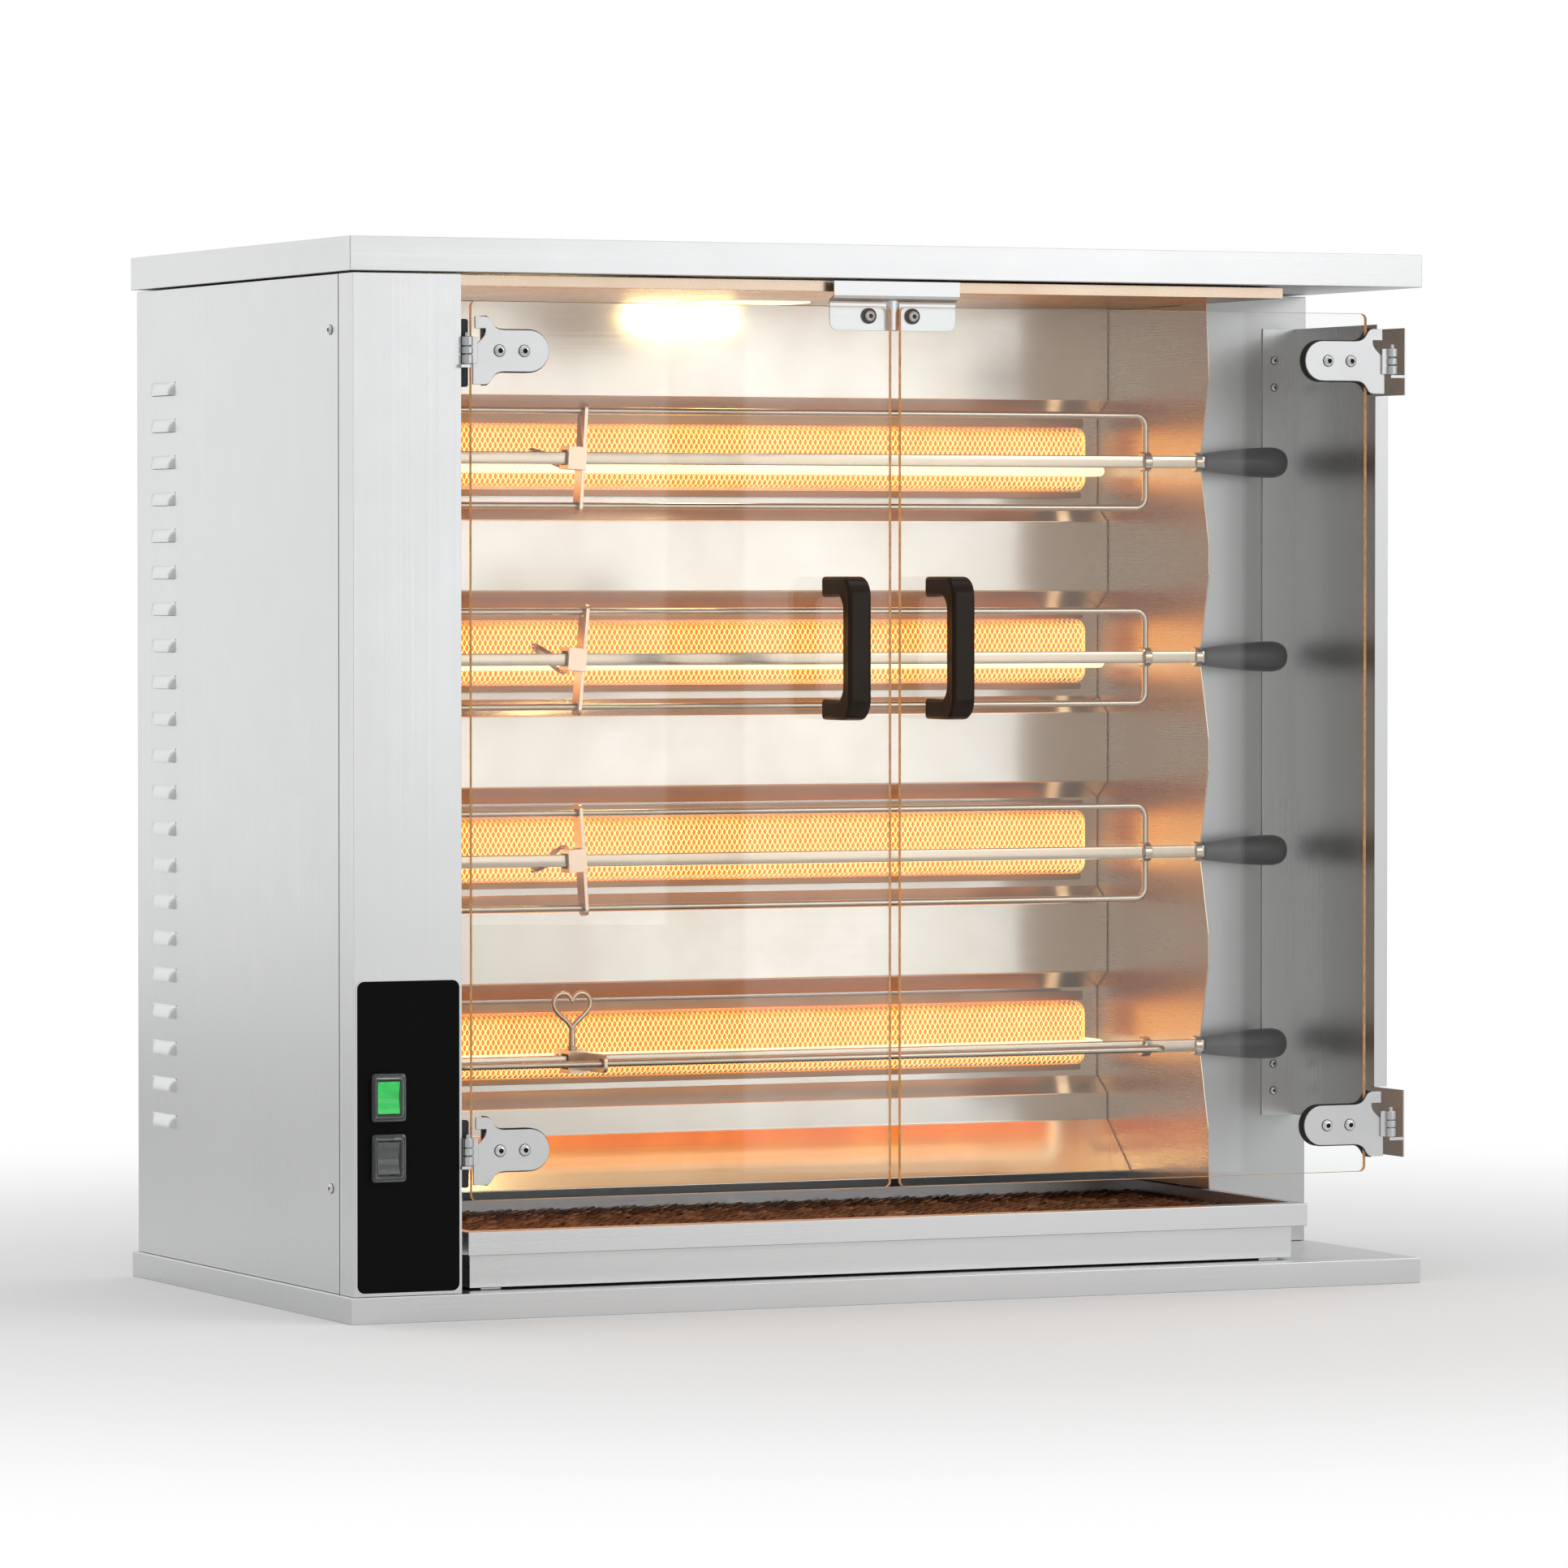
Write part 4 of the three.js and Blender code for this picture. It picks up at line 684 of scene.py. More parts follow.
black_nylon = matt_plastic("black_nylon", (0.02, 0.02, 0.021))
GLAND_TAIL, GLAND_TAIL_RADIUS, GLAND_BORE = 8, 7.6, 4.0
gland_low, gland_high = box("cable_gland")
gland_middle = (gland_low + gland_high) / 2
gland_radius = (gland_high.x - gland_low.x) / 2
gland_end = gland_high.y - rear_high.y
gland = bmesh.new()
turned(gland, [(-GLAND_TAIL, GLAND_TAIL_RADIUS), (0.3, GLAND_TAIL_RADIUS), (0.3, gland_radius),
               (4.2, gland_radius), (4.8, gland_radius - 0.8), (5.2, gland_radius - 2),
               (gland_end - 2, gland_radius - 3), (gland_end, gland_radius - 5),
               (gland_end, GLAND_BORE + 0.2), (2.0, GLAND_BORE), (-GLAND_TAIL, GLAND_BORE),
               (-GLAND_TAIL, GLAND_TAIL_RADIUS)],
       (gland_middle.x, rear_high.y, gland_middle.z), (0, 1, 0), sides=36)
end_discs = [face for face in gland.faces if len(face.verts) > 4]   # the profile closes on itself
for disc in end_discs:
    gland.faces.remove(disc)
piece("gland_bush", gland, "cabinet", "black_plastic", black_nylon, replaces=["cable_gland"], smooth=30)


# ------------------------------------------------------------------ cooking chamber
# Bright stainless walls: a troughed reflector behind the heaters, a wavy-edged right wall with spit
# slots, and a ceiling with a lamp behind heat-proof glass. Heat has given the steel a straw tint.
def chamber_steel(name, roughness, clean, straw, stretch):
    """Bright rolled steel with a patchy heat tint; stretch is its lines to the metre along x, y and z."""
    made, tree, place = material(name)
    lines = tree.node("ShaderNodeVectorMath", {"operation": "MULTIPLY"}, place, stretch)
    grit = tree.noise(lines, 1.0, 4.0, 0.6)
    haze = tree.noise(place, 3.5, 2.0)
    film = tree.noise(place, 11.0, 4.0, 0.6)
    tinted = tree.blend(film, (*clean, 1), (*straw, 1))
    tone = 0.98 + (grit - 0.5) * 0.10 + (haze - 0.5) * 0.08
    surface(tree, Base_Color=tree.scaled(tinted, tone), Metallic=1.0,
            Roughness=roughness + (grit - 0.5) * 0.10 + (film - 0.5) * 0.10,
            Normal=tree.bump(grit, 0.03, 0.0003))
    return made


reflector_steel = chamber_steel("reflector_steel", 0.2, (0.78, 0.75, 0.71), (0.72, 0.62, 0.53),
                                (3, 700, 700))
wall_steel = chamber_steel("chamber_wall_steel", 0.28, (0.66, 0.55, 0.45), (0.60, 0.44, 0.31),
                           (900, 3, 900))
keep(reflector_steel, "back_reflector", edge=0.9, steps=3)
keep(wall_steel, "chamber_left_wall", "chamber_right_wall", "chamber_ceiling", edge=0.35)

lamp_pane, tree, place = material("lamp_glass_frosted")
ripple = tree.noise(place, 90.0, 2.0)
surface(tree, Base_Color=tree.scaled((0.95, 0.9, 0.75), 0.9 + ripple * 0.2), Roughness=0.3,
        Emission_Color=tree.scaled((1.0, 0.82, 0.45), 0.8 + ripple * 0.4), Emission_Strength=1.5)
keep(lamp_pane, "lamp_glass", edge=0.6)
lamp_low, lamp_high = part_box("lamp_glass")
lamp_middle = (lamp_low + lamp_high) / 2
area_light("chamber_lamp", (lamp_middle.x, lamp_middle.y, lamp_low.z - 0.004),
           (lamp_middle.x - 0.02, lamp_middle.y + 0.05, 0.70), (0.09, 0.05), 0.28, (1.0, 0.80, 0.38))


# ------------------------------------------------------------------ infrared heaters
# Each heater is a trough of fine expanded metal, glowing from the burner behind it, in a reflector
# trough. A bare heating rod runs in front of it and turns back through the reflector at the right.
def expanded_tree():
    """Geometry nodes: a strand repeated over an even lattice, all in one finish."""
    group = bpy.data.node_groups.new("expanded_metal", "GeometryNodeTree")
    for name, kind in (("Strand", "NodeSocketGeometry"), ("Columns", "NodeSocketInt"),
                       ("Rows", "NodeSocketInt"), ("Width", "NodeSocketFloat"),
                       ("Height", "NodeSocketFloat"), ("Finish", "NodeSocketMaterial")):
        group.interface.new_socket(name, in_out="INPUT", socket_type=kind)
    group.interface.new_socket("Net", in_out="OUTPUT", socket_type="NodeSocketGeometry")
    tree = Tree(group)
    given = tree.node("NodeGroupInput")
    lattice = tree.node("GeometryNodeMeshGrid", None, given.out("Width"), given.out("Height"),
                        given.out("Columns"), given.out("Rows")).out("Mesh")
    placed = tree.node("GeometryNodeInstanceOnPoints", None, lattice, Instance=given.out("Strand"))
    real = tree.node("GeometryNodeRealizeInstances", None, placed)
    tree.node("NodeGroupOutput", None,
              tree.node("GeometryNodeSetMaterial", None, real, Material=given.out("Finish")))
    return group


EXPANDED = expanded_tree()

glow_net, tree, place = material("glowing_net")
flicker = tree.noise(place, 14.0, 3.0, 0.6)
spark = tree.noise(place, 260.0, 2.0)
lean = tree.node("ShaderNodeSeparateXYZ", None, tree.node("ShaderNodeNewGeometry").out("Normal"))
turned_back = lean.math("ABSOLUTE", lean.out("Z")) * 0.6 + lean.math("ABSOLUTE", lean) * 0.3
hot = tree.node("ShaderNodeValToRGB", {"stops": [(0.0, (0.62, 0.20, 0.035)), (0.2, (0.97, 0.47, 0.07)),
                                                 (0.38, (1.0, 0.78, 0.20)), (0.75, (1.0, 0.93, 0.42))]},
                flicker * 0.45 + spark * 0.3 + 0.28 - turned_back).out("Color")
surface(tree, Base_Color=tree.scaled((0.55, 0.2, 0.05), 0.7 + spark * 0.6),
        Roughness=0.6 + (spark - 0.5) * 0.2, Emission_Color=hot, Emission_Strength=1.25)

glow_bed, tree, place = material("glowing_bed")
ember = tree.noise(place, 60.0, 3.0, 0.6)
surface(tree, Base_Color=(0.3, 0.09, 0.02, 1), Roughness=0.8,
        Emission_Color=tree.scaled((0.75, 0.27, 0.07), 0.55 + ember * 0.9), Emission_Strength=0.8)

glow_rod, tree, place = material("glowing_rod_metal")
vary = tree.noise(place, 9.0, 2.0)
surface(tree, Base_Color=(0.95, 0.75, 0.45, 1), Roughness=0.35 + (vary - 0.5) * 0.1,
        Emission_Color=tree.scaled((1.0, 0.86, 0.58), 0.85 + vary * 0.3), Emission_Strength=1.05)

scorched_steel = chamber_steel("scorched_steel", 0.36, (0.50, 0.34, 0.22), (0.34, 0.19, 0.10),
                               (3, 700, 700))


def tube(shape, path, radius, sides=14, closed=False):
    """A round wire along a path of points."""
    points = [Vector(point) for point in path]
    count = len(points)
    rings, normal = [], None
    for i, point in enumerate(points):
        before = points[i - 1] if i or closed else point
        after = points[(i + 1) % count] if i < count - 1 or closed else point
        way = (after - before).normalized()
        normal = (normal or way.orthogonal())
        normal = (normal - way * normal.dot(way)).normalized()
        side = way.cross(normal)
        rings.append([shape.verts.new(point + radius * (normal * cos(2 * pi * k / sides)
                                                        + side * sin(2 * pi * k / sides)))
                      for k in range(sides)])
    quads(shape, rings + rings[:1] if closed else rings, around=True)
    if not closed:
        shape.faces.new(rings[0])
        shape.faces.new(rings[-1])


def bent(corners, bend, steps=8):
    """A path through corner points with a round bend at each inner one."""
    points = [Vector(corners[0])]
    for one, here, two in zip(corners, corners[1:], corners[2:]):
        here = Vector(here)
        start = (Vector(one) - here).normalized()
        end = (Vector(two) - here).normalized()
        half = start.angle(end) / 2
        reach = bend / (sin(half) / cos(half))
        centre = here + (start + end).normalized() * bend / sin(half)
        arm = here + start * reach - centre
        axis = end.cross(start).normalized()
        for i in range(steps + 1):
            points.append(centre + Matrix.Rotation((pi - 2 * half) * i / steps, 3, axis) @ arm)
    return [*points, Vector(corners[-1])]


def strand_shape(lean, cell, strand, thick, lift):
    """One side of a diamond: an S-bent strand, wide at the knots and turned up and down between them."""
    shape = bmesh.new()
    rings = []
    for step in range(4):
        t = step / 3
        ease = 3 * t ** 2 - 2 * t ** 3
        half = strand / 2 * (1.3 - 0.5 * sin(pi * t))
        x, y, z = lean * (ease - 0.5) * cell[0] / 2, (t - 0.5) * cell[1] / 2, lift * cos(pi * t)
        rings.append([shape.verts.new((x + du * half, y, z + dz * thick / 2))
                      for du, dz in ((-1, -0.7), (1, -0.7), (0.8, 1), (-0.8, 1))])
    quads(shape, rings, around=True)
    shape.faces.new(rings[0])
    shape.faces.new(rings[-1])
    bmesh.ops.recalc_face_normals(shape, faces=shape.faces)
    return shape


def diamond_net(wide, high, cell, strand, thick, lift, finish):
    """Expanded metal, flat in x and y about the origin: staggered diamonds, one strand to a side."""
    half_wide, half_high = cell[0] / 2, cell[1] / 2
    columns, rows = int(wide / half_wide) + 1, int(high / half_high) + 1
    whole = bmesh.new()
    for lean in (-1, 1):
        for first_row in (0, 1):
            first_column = first_row if lean > 0 else 1 - first_row
            own_rows = (rows - first_row + 1) // 2
            own_columns = (columns - first_column + 1) // 2
            middle_x = (first_column + own_columns - 1) * half_wide
            middle_y = (first_row + own_rows - 1) * half_high
            holder = loose_object("strand", strand_shape(lean, cell, strand, thick, lift))
            mesh = settle(EXPANDED, holder, {
                "Columns": own_columns, "Rows": own_rows, "Finish": finish,
                "Width": (own_columns - 1) * cell[0] * MM, "Height": (own_rows - 1) * cell[1] * MM})
            mesh.transform(Matrix.Translation((middle_x * MM, middle_y * MM, 0)))
            whole.from_mesh(mesh)
            bpy.data.meshes.remove(mesh)
    bmesh.ops.scale(whole, vec=(1 / MM,) * 3, verts=whole.verts)
    bmesh.ops.translate(whole, vec=(-(columns - 1) * half_wide / 2, -(rows - 1) * half_high / 2, 0),
                        verts=whole.verts)
    return whole


def wrapped(distance, flat, turn):
    """Where a strip bent back at its end lies: how far along, and how far back."""
    over = distance - flat
    if over <= 0:
        return distance, 0.0
    if over < turn * pi / 2:
        return flat + turn * sin(over / turn), turn * (1 - cos(over / turn))
    return flat + turn, turn + over - turn * pi / 2


NET_CELL = (4.7, 8.6)
NET_STRAND, NET_THICK, NET_LIFT = 1.25, 1.0, 0.35
BASKET_TURN = 9          # radius that the net is bent round at its edges
BASKET_SIDE = 22         # how far its sides go back
BASKET_PINCH = 0.16      # how much lower its free end is drawn in
basket_low, basket_high = box("heater_mesh_1")
basket_long = basket_high.x - basket_low.x - 2
basket_half = (basket_high.z - basket_low.z) / 2 - 0.6
front_flat = basket_half - BASKET_TURN
end_flat = basket_long - BASKET_TURN
reach_back = front_flat + BASKET_TURN * pi / 2 + BASKET_SIDE - BASKET_TURN
end_back = end_flat + BASKET_TURN * pi / 2 + 8
flat_net = diamond_net(end_back, 2 * reach_back, NET_CELL, NET_STRAND, NET_THICK, NET_LIFT, glow_net)
for vertex in flat_net.verts:
    x, z, proud = vertex.co
    along, back_x = wrapped(x + end_back / 2, end_flat, BASKET_TURN)
    up, back_z = wrapped(abs(z), front_flat, BASKET_TURN)
    drawn = 1 - BASKET_PINCH * (max(0.0, along - end_flat) / BASKET_TURN) ** 2
    vertex.co = (along, min(back_x + back_z, BASKET_SIDE) + 1.6 - proud, (up if z > 0 else -up) * drawn)
bare_net = bpy.data.meshes.new("net")
flat_net.to_mesh(bare_net)
flat_net.free()

SPITS = range(1, 5)
ROD_RADIUS = 4.6
ROD_BEND = 10
BED_INSET = 3.5          # the glowing bed in from the basket's edges
BED_FRONT, BED_REAR = 4.5, 26                # behind the basket's face
UPPER_CARRIER = (4.2, 4.0, 20)               # above the basket, half its height, behind the face
LOWER_CARRIER = (-3.2, 2.6, 24)
for k in SPITS:
    low, high = box(f"heater_mesh_{k}")
    middle_z = (low.z + high.z) / 2
    net = bmesh.new()
    net.from_mesh(bare_net)
    bmesh.ops.translate(net, vec=(low.x + 1, low.y, middle_z), verts=net.verts)
    bmesh.ops.scale(net, vec=(MM, MM, MM), verts=net.verts)
    mesh = bpy.data.meshes.new(f"heater_net_{k}")
    net.to_mesh(mesh)
    net.free()
    finished(f"heater_net_{k}", mesh, "cabinet", "glowing_mesh", glow_net, replaces=[f"heater_mesh_{k}"])

    bed = bmesh.new()
    bed_half = basket_half - BED_INSET
    prism(bed, rounded((low.x, high.x - 4), (middle_z - bed_half, middle_z + bed_half), 9),
          (low.y + BED_FRONT, low.y + BED_REAR))
    piece(f"heater_bed_{k}", bed, "cabinet", "glowing_mesh", glow_bed, edge=5, steps=4)

    carrier = bmesh.new()
    for edge_z, (rise, half_strip, set_back) in ((middle_z + basket_half, UPPER_CARRIER),
                                                 (middle_z - basket_half, LOWER_CARRIER)):
        strip_z = edge_z + rise
        prism(carrier, rounded((low.x, high.x + 3), (strip_z - half_strip, strip_z + half_strip), 2),
              (low.y + set_back, low.y + set_back + SHEET))
    piece(f"heater_carrier_{k}", carrier, "cabinet", "chamber_steel", scorched_steel, edge=0.3)

    rod_low, rod_high = box(f"heater_rod_{k}")
    axis_y, axis_z = rod_low.y + ROD_RADIUS, (rod_low.z + rod_high.z) / 2
    rod_end = rod_high.x - ROD_RADIUS
    rod = bmesh.new()
    tube(rod, bent([(rod_low.x, axis_y, axis_z), (rod_end, axis_y, axis_z), (rod_end, rod_high.y, axis_z)],
                   ROD_BEND), ROD_RADIUS, sides=20)
    piece(f"heater_tube_{k}", rod, "cabinet", "glowing_rod", glow_rod, replaces=[f"heater_rod_{k}"])
bpy.data.meshes.remove(bare_net)


# ------------------------------------------------------------------ spits
# A square bar with a long loop of round wire welded to it through two collars, in bright drawn steel.
# The right end is turned down to a journal and pushed into a tapered black handle.
drawn_steel = bright_metal("drawn_steel", (0.63, 0.52, 0.41), 0.18, 500.0)
BAR = 10
BAR_PAST_WALL = 4.7      # its square end ahead of the handle
WIRE = 5.6
WIRE_RISE = 39
WIRE_BEND = 9
LOOP_FROM_LEFT, LOOP_FROM_RIGHT = 46, 48     # the loop's ends from the chamber's walls
COLLAR_RADIUS = 8.4
JOURNAL_RADIUS = 7.6
inner_left = box("chamber_left_wall")[1].x
wall_low, wall_high = box("chamber_right_wall")
loop_left, loop_right = inner_left + LOOP_FROM_LEFT, wall_low.x - LOOP_FROM_RIGHT
spit_stands = {}
for k in SPITS:
    low, high = box(f"spit_{k}")
    middle = Matrix.Translation((0, (low.y + high.y) / 2, (low.z + high.z) / 2))
    lying = high.y - low.y > high.z - low.z
    spit_stands[k] = middle @ Matrix.Rotation(radians(90) if lying else 0.0, 4, "X")

    spit = bmesh.new()
    half = BAR / 2
    prism(spit, rounded((-half, half), (-half, half), 0.8, 3), (low.x, wall_high.x + BAR_PAST_WALL), axis="x")
    for x in (loop_left, loop_right):
        turned(spit, [(-4, COLLAR_RADIUS - 1.2), (-3, COLLAR_RADIUS), (3, COLLAR_RADIUS),
                      (4, COLLAR_RADIUS - 1.2)], (x, 0, 0), (1, 0, 0), sides=28)
    turned(spit, [(-2, JOURNAL_RADIUS), (3.6, JOURNAL_RADIUS), (4.0, JOURNAL_RADIUS - 0.6)],
           (wall_low.x, 0, 0), (1, 0, 0), sides=28)
    for way in (-1, 1):
        for x in (loop_left, loop_right):
            wire = bent([(x, 0, 4 * way), (x, 0, WIRE_RISE * way), (0, 0, WIRE_RISE * way)], WIRE_BEND)
            tube(spit, wire, WIRE / 2)
    spit.transform(spit_stands[k])
    piece(f"spit_bar_{k}", spit, f"spit_{k}", "spit_steel", drawn_steel, replaces=[f"spit_{k}"])


# ------------------------------------------------------------------ spit handles
# Tapered grips moulded in black heat-proof plastic, slim at the neck and full at the round end.
# Each is pushed on to the turned end of its spit as far as a small chamfer round the neck.
handle_plastic = matt_plastic("handle_plastic", (0.045, 0.045, 0.047), 0.38, 700.0)
GRIP_NECK = 7.6
GRIP_CHAMFER = 1.2
GRIP_DOME = 12.8         # length of the rounded end
for k in SPITS:
    low, high = box(f"spit_handle_{k}")
    long, tip = high.x - low.x, (high.z - low.z) / 2
    taper = [i / 10 for i in range(1, 11)]
    dome = [pi / 2 * i / 6 for i in range(1, 7)]
    profile = [(0, 4.5), (0.2, GRIP_NECK - GRIP_CHAMFER), (GRIP_CHAMFER, GRIP_NECK)]
    profile += [(GRIP_CHAMFER + (long - GRIP_CHAMFER - GRIP_DOME) * t,
                 GRIP_NECK + (tip - GRIP_NECK) * (1.7 * t - 0.7 * t * t)) for t in taper]
    profile += [(long - GRIP_DOME * (1 - sin(a)), tip - 6.5 * (1 - cos(a))) for a in dome]
    profile += [(long, 0.6)]
    grip = bmesh.new()
    turned(grip, profile, spit_stands[k].translation + Vector((low.x, 0, 0)), (1, 0, 0), sides=32)
    piece(f"spit_grip_{k}", grip, f"spit_{k}", "black_plastic", handle_plastic,
          replaces=[f"spit_handle_{k}"], smooth=40)


# ------------------------------------------------------------------ sliding forks and their screws
# A bar of flat steel threaded over both wires, with a sleeve on the square bar. The head of the screw
# that holds it is bent up from wire into a heart, so that it can be turned with a gloved hand.
CLAMP_LEANS = [3.5, 5, -3.7, 4]              # degrees, as each fork hangs on its spit
SCREW_TWISTS = [20, 35, -30, 0]              # degrees, as each screw was left
CLAMP_PLACE = 166        # from the chamber's left wall
SCREW_BACK = 1.5         # the screw's axis to the left of the fork's middle
SLEEVE_FACE = 9.4        # the sleeve's outer face from the spit's axis
SHANK, SHANK_RADIUS, NUT_RADIUS = 17, 2.9, 4.6
HEART_HALF, HEART_TALL, HEART_WIRE = 17, 30, 2.1
fork_steel = bright_metal("fork_steel", (0.80, 0.60, 0.45), 0.24, 350.0)


def heart(count=48):
    """A heart's closed centre line, with its point at the origin: the known curve, 29 units tall."""
    points = []
    for i in range(count):
        t = 2 * pi * i / count
        x = HEART_HALF * sin(t) ** 3
        z = 13 * cos(t) - 5 * cos(2 * t) - 2 * cos(3 * t) - cos(4 * t)
        points.append((x, 0, (z + 17) / 29 * HEART_TALL))
    return points


for k in SPITS:
    keep(fork_steel, f"spit_clamp_{k}", edge=0.5, steps=3)
    hold = Matrix.Translation((inner_left + CLAMP_PLACE, 0, 0)) @ spit_stands[k]
    hold = hold @ Matrix.Rotation(radians(CLAMP_LEANS[k - 1]), 4, "Y")
    hold = hold @ Matrix.Translation((-SCREW_BACK, 0, 0))
    hold = hold @ Matrix.Rotation(radians(SCREW_TWISTS[k - 1]), 4, "Y")
    screw = bmesh.new()
    turned(screw, [(6.5, SHANK_RADIUS - 0.3), (7.0, SHANK_RADIUS), (SLEEVE_FACE + 1, SHANK_RADIUS),
                   (SLEEVE_FACE + 1, NUT_RADIUS), (SLEEVE_FACE + 2.6, NUT_RADIUS),
                   (SLEEVE_FACE + 3.2, SHANK_RADIUS + 0.3), (SLEEVE_FACE + SHANK, SHANK_RADIUS - 0.3)],
           (0, 0, 0), (0, 1, 0), sides=20)
    lay = Matrix.Translation((0, SLEEVE_FACE + SHANK, 0)) @ Matrix.Rotation(radians(-90), 4, "X")
    tube(screw, [lay @ Vector(point) for point in heart()], HEART_WIRE, sides=12, closed=True)
    screw.transform(hold)
    piece(f"heart_screw_{k}", screw, f"clamp_screw_{k}", "spit_steel", fork_steel,
          replaces=[f"clamp_screw_{k}"], smooth=40)


# ------------------------------------------------------------------ drive
# Chain, sprockets and gear motor in the closed compartment behind the control column.
# Zinc-plated and lightly oiled, they show only through the bores of the left wall.
oiled_steel = bright_metal("oiled_steel", (0.5, 0.5, 0.51), 0.34)
keep(oiled_steel, "drive_chain", "gear_motor", *(f"drive_sprocket_{k}" for k in SPITS), edge=0.3)


# ------------------------------------------------------------------ doors
# Two frameless panes of toughened glass with ground edges; the heaters' glow caught in those edges is painted
# on, as orange colour and emission.
# Their corners are cut round. The hinges and handles clamp on them.
door_glass = clear("door_glass_clear", (0.985, 0.992, 0.988), 0.0, 0.55, 0.0)
# Painted glow: the ground edges get an orange colour and a faint emission that stand in for the heaters'
# light caught in the glass.
painted_glow_edge, tree, place = material("glass_edge_painted_glow")
sparkle = tree.noise(place, 220.0, 3.0)
painted_glow_tint = tree.blend(sparkle, (0.16, 0.075, 0.03, 1), (0.80, 0.52, 0.28, 1))
surface(tree, Base_Color=painted_glow_tint, Roughness=0.3 + (sparkle - 0.5) * 0.1, IOR=1.5,
        Emission_Color=tree.scaled((0.75, 0.36, 0.12), 0.3 + sparkle * 1.1), Emission_Strength=0.35)

GLASS_CORNER = 5
for side in ("left", "right"):
    low, high = box(f"{side}_door_glass")
    pane = bmesh.new()
    prism(pane, rounded((low.x, high.x), (low.z, high.z), GLASS_CORNER, 8), (low.y, high.y), finish=1)
    for face in pane.faces:
        depth = face.calc_center_median().y
        if min(abs(depth - low.y), abs(depth - high.y)) < 0.01:
            face.material_index = 0
    piece(f"{side}_pane", pane, f"{side}_door", "door_glass", door_glass, painted_glow_edge,
          replaces=[f"{side}_door_glass"], edge=0.5, steps=2)


# ------------------------------------------------------------------ door hinges
# A cranked plate of satin nickelled steel outside the glass and a plain one inside, with black rubber
# between, drawn together by two button screws. The plate's three knuckles turn on a fixed pin.
nickel, tree, place = material("satin_nickel")
tumble = tree.noise(place, 650.0, 3.0, 0.7)
cloud = tree.noise(place, 30.0, 3.0)
surface(tree, Base_Color=tree.scaled((0.60, 0.605, 0.61), 0.93 + cloud * 0.14), Metallic=1.0,
        Roughness=0.33 + (tumble - 0.5) * 0.12 + (cloud - 0.5) * 0.1,
        Normal=tree.bump(tumble, 0.12, 0.0003))
rubber = matt_plastic("black_rubber", (0.012, 0.012, 0.012), 0.6)
HINGE_ROOT, HINGE_LOBE = 27, 16.5            # half its height at the pin and at the round end
EYE_RADIUS = 4.6
EYE_KNUCKLES = ((-11, -3.4), (-3.0, 3.0), (3.4, 11))
PLATE = 2.2
GASKET = 1.6
INNER_PLATE = 2.0
SCREWS_FROM_TIP = (42.6, 21.3)
# Reach of the painted shadow strip above and below the middle of each left hinge.
SHADOW_STRIP_UP, SHADOW_STRIP_DOWN = 25, 29


def curve(p0, p1, p2, p3, steps=8):
    """Points of a cubic curve, without its first."""
    points = []
    for i in range(1, steps + 1):
        t = i / steps
        weights = ((1 - t) ** 3, 3 * t * (1 - t) ** 2, 3 * t * t * (1 - t), t ** 3)
        points.append(tuple(sum(w * p[k] for w, p in zip(weights, (p0, p1, p2, p3))) for k in (0, 1)))
    return points


def hinge_outline(way, reach, grow=0.0, notch=True):
    """The plate from the pin: deep at its root, drawn in to a round end; the notch clears the lug."""
    root, lobe = HINGE_ROOT + grow, HINGE_LOBE + grow
    start, end = EYE_RADIUS + 1 - grow, reach - HINGE_LOBE
    points = [(start, -root), (16, -root)]
    points += curve((16, -root), (24, -root), (20, -lobe), (33, -lobe))
    points += [(end + lobe * sin(pi * i / 16), -lobe * cos(pi * i / 16)) for i in range(17)]
    points += [(33, lobe)] + curve((33, lobe), (20, lobe), (24, root), (16, root))
    points += [(start + 2, root)]
    if notch:
        points += [(start + 2, 17.5), (start + 11, 17.5)]
        points += curve((start + 11, 17.5), (start + 12, 10), (start + 4, 7), (start, 2))
    return [(way * u, v) for u, v in points]


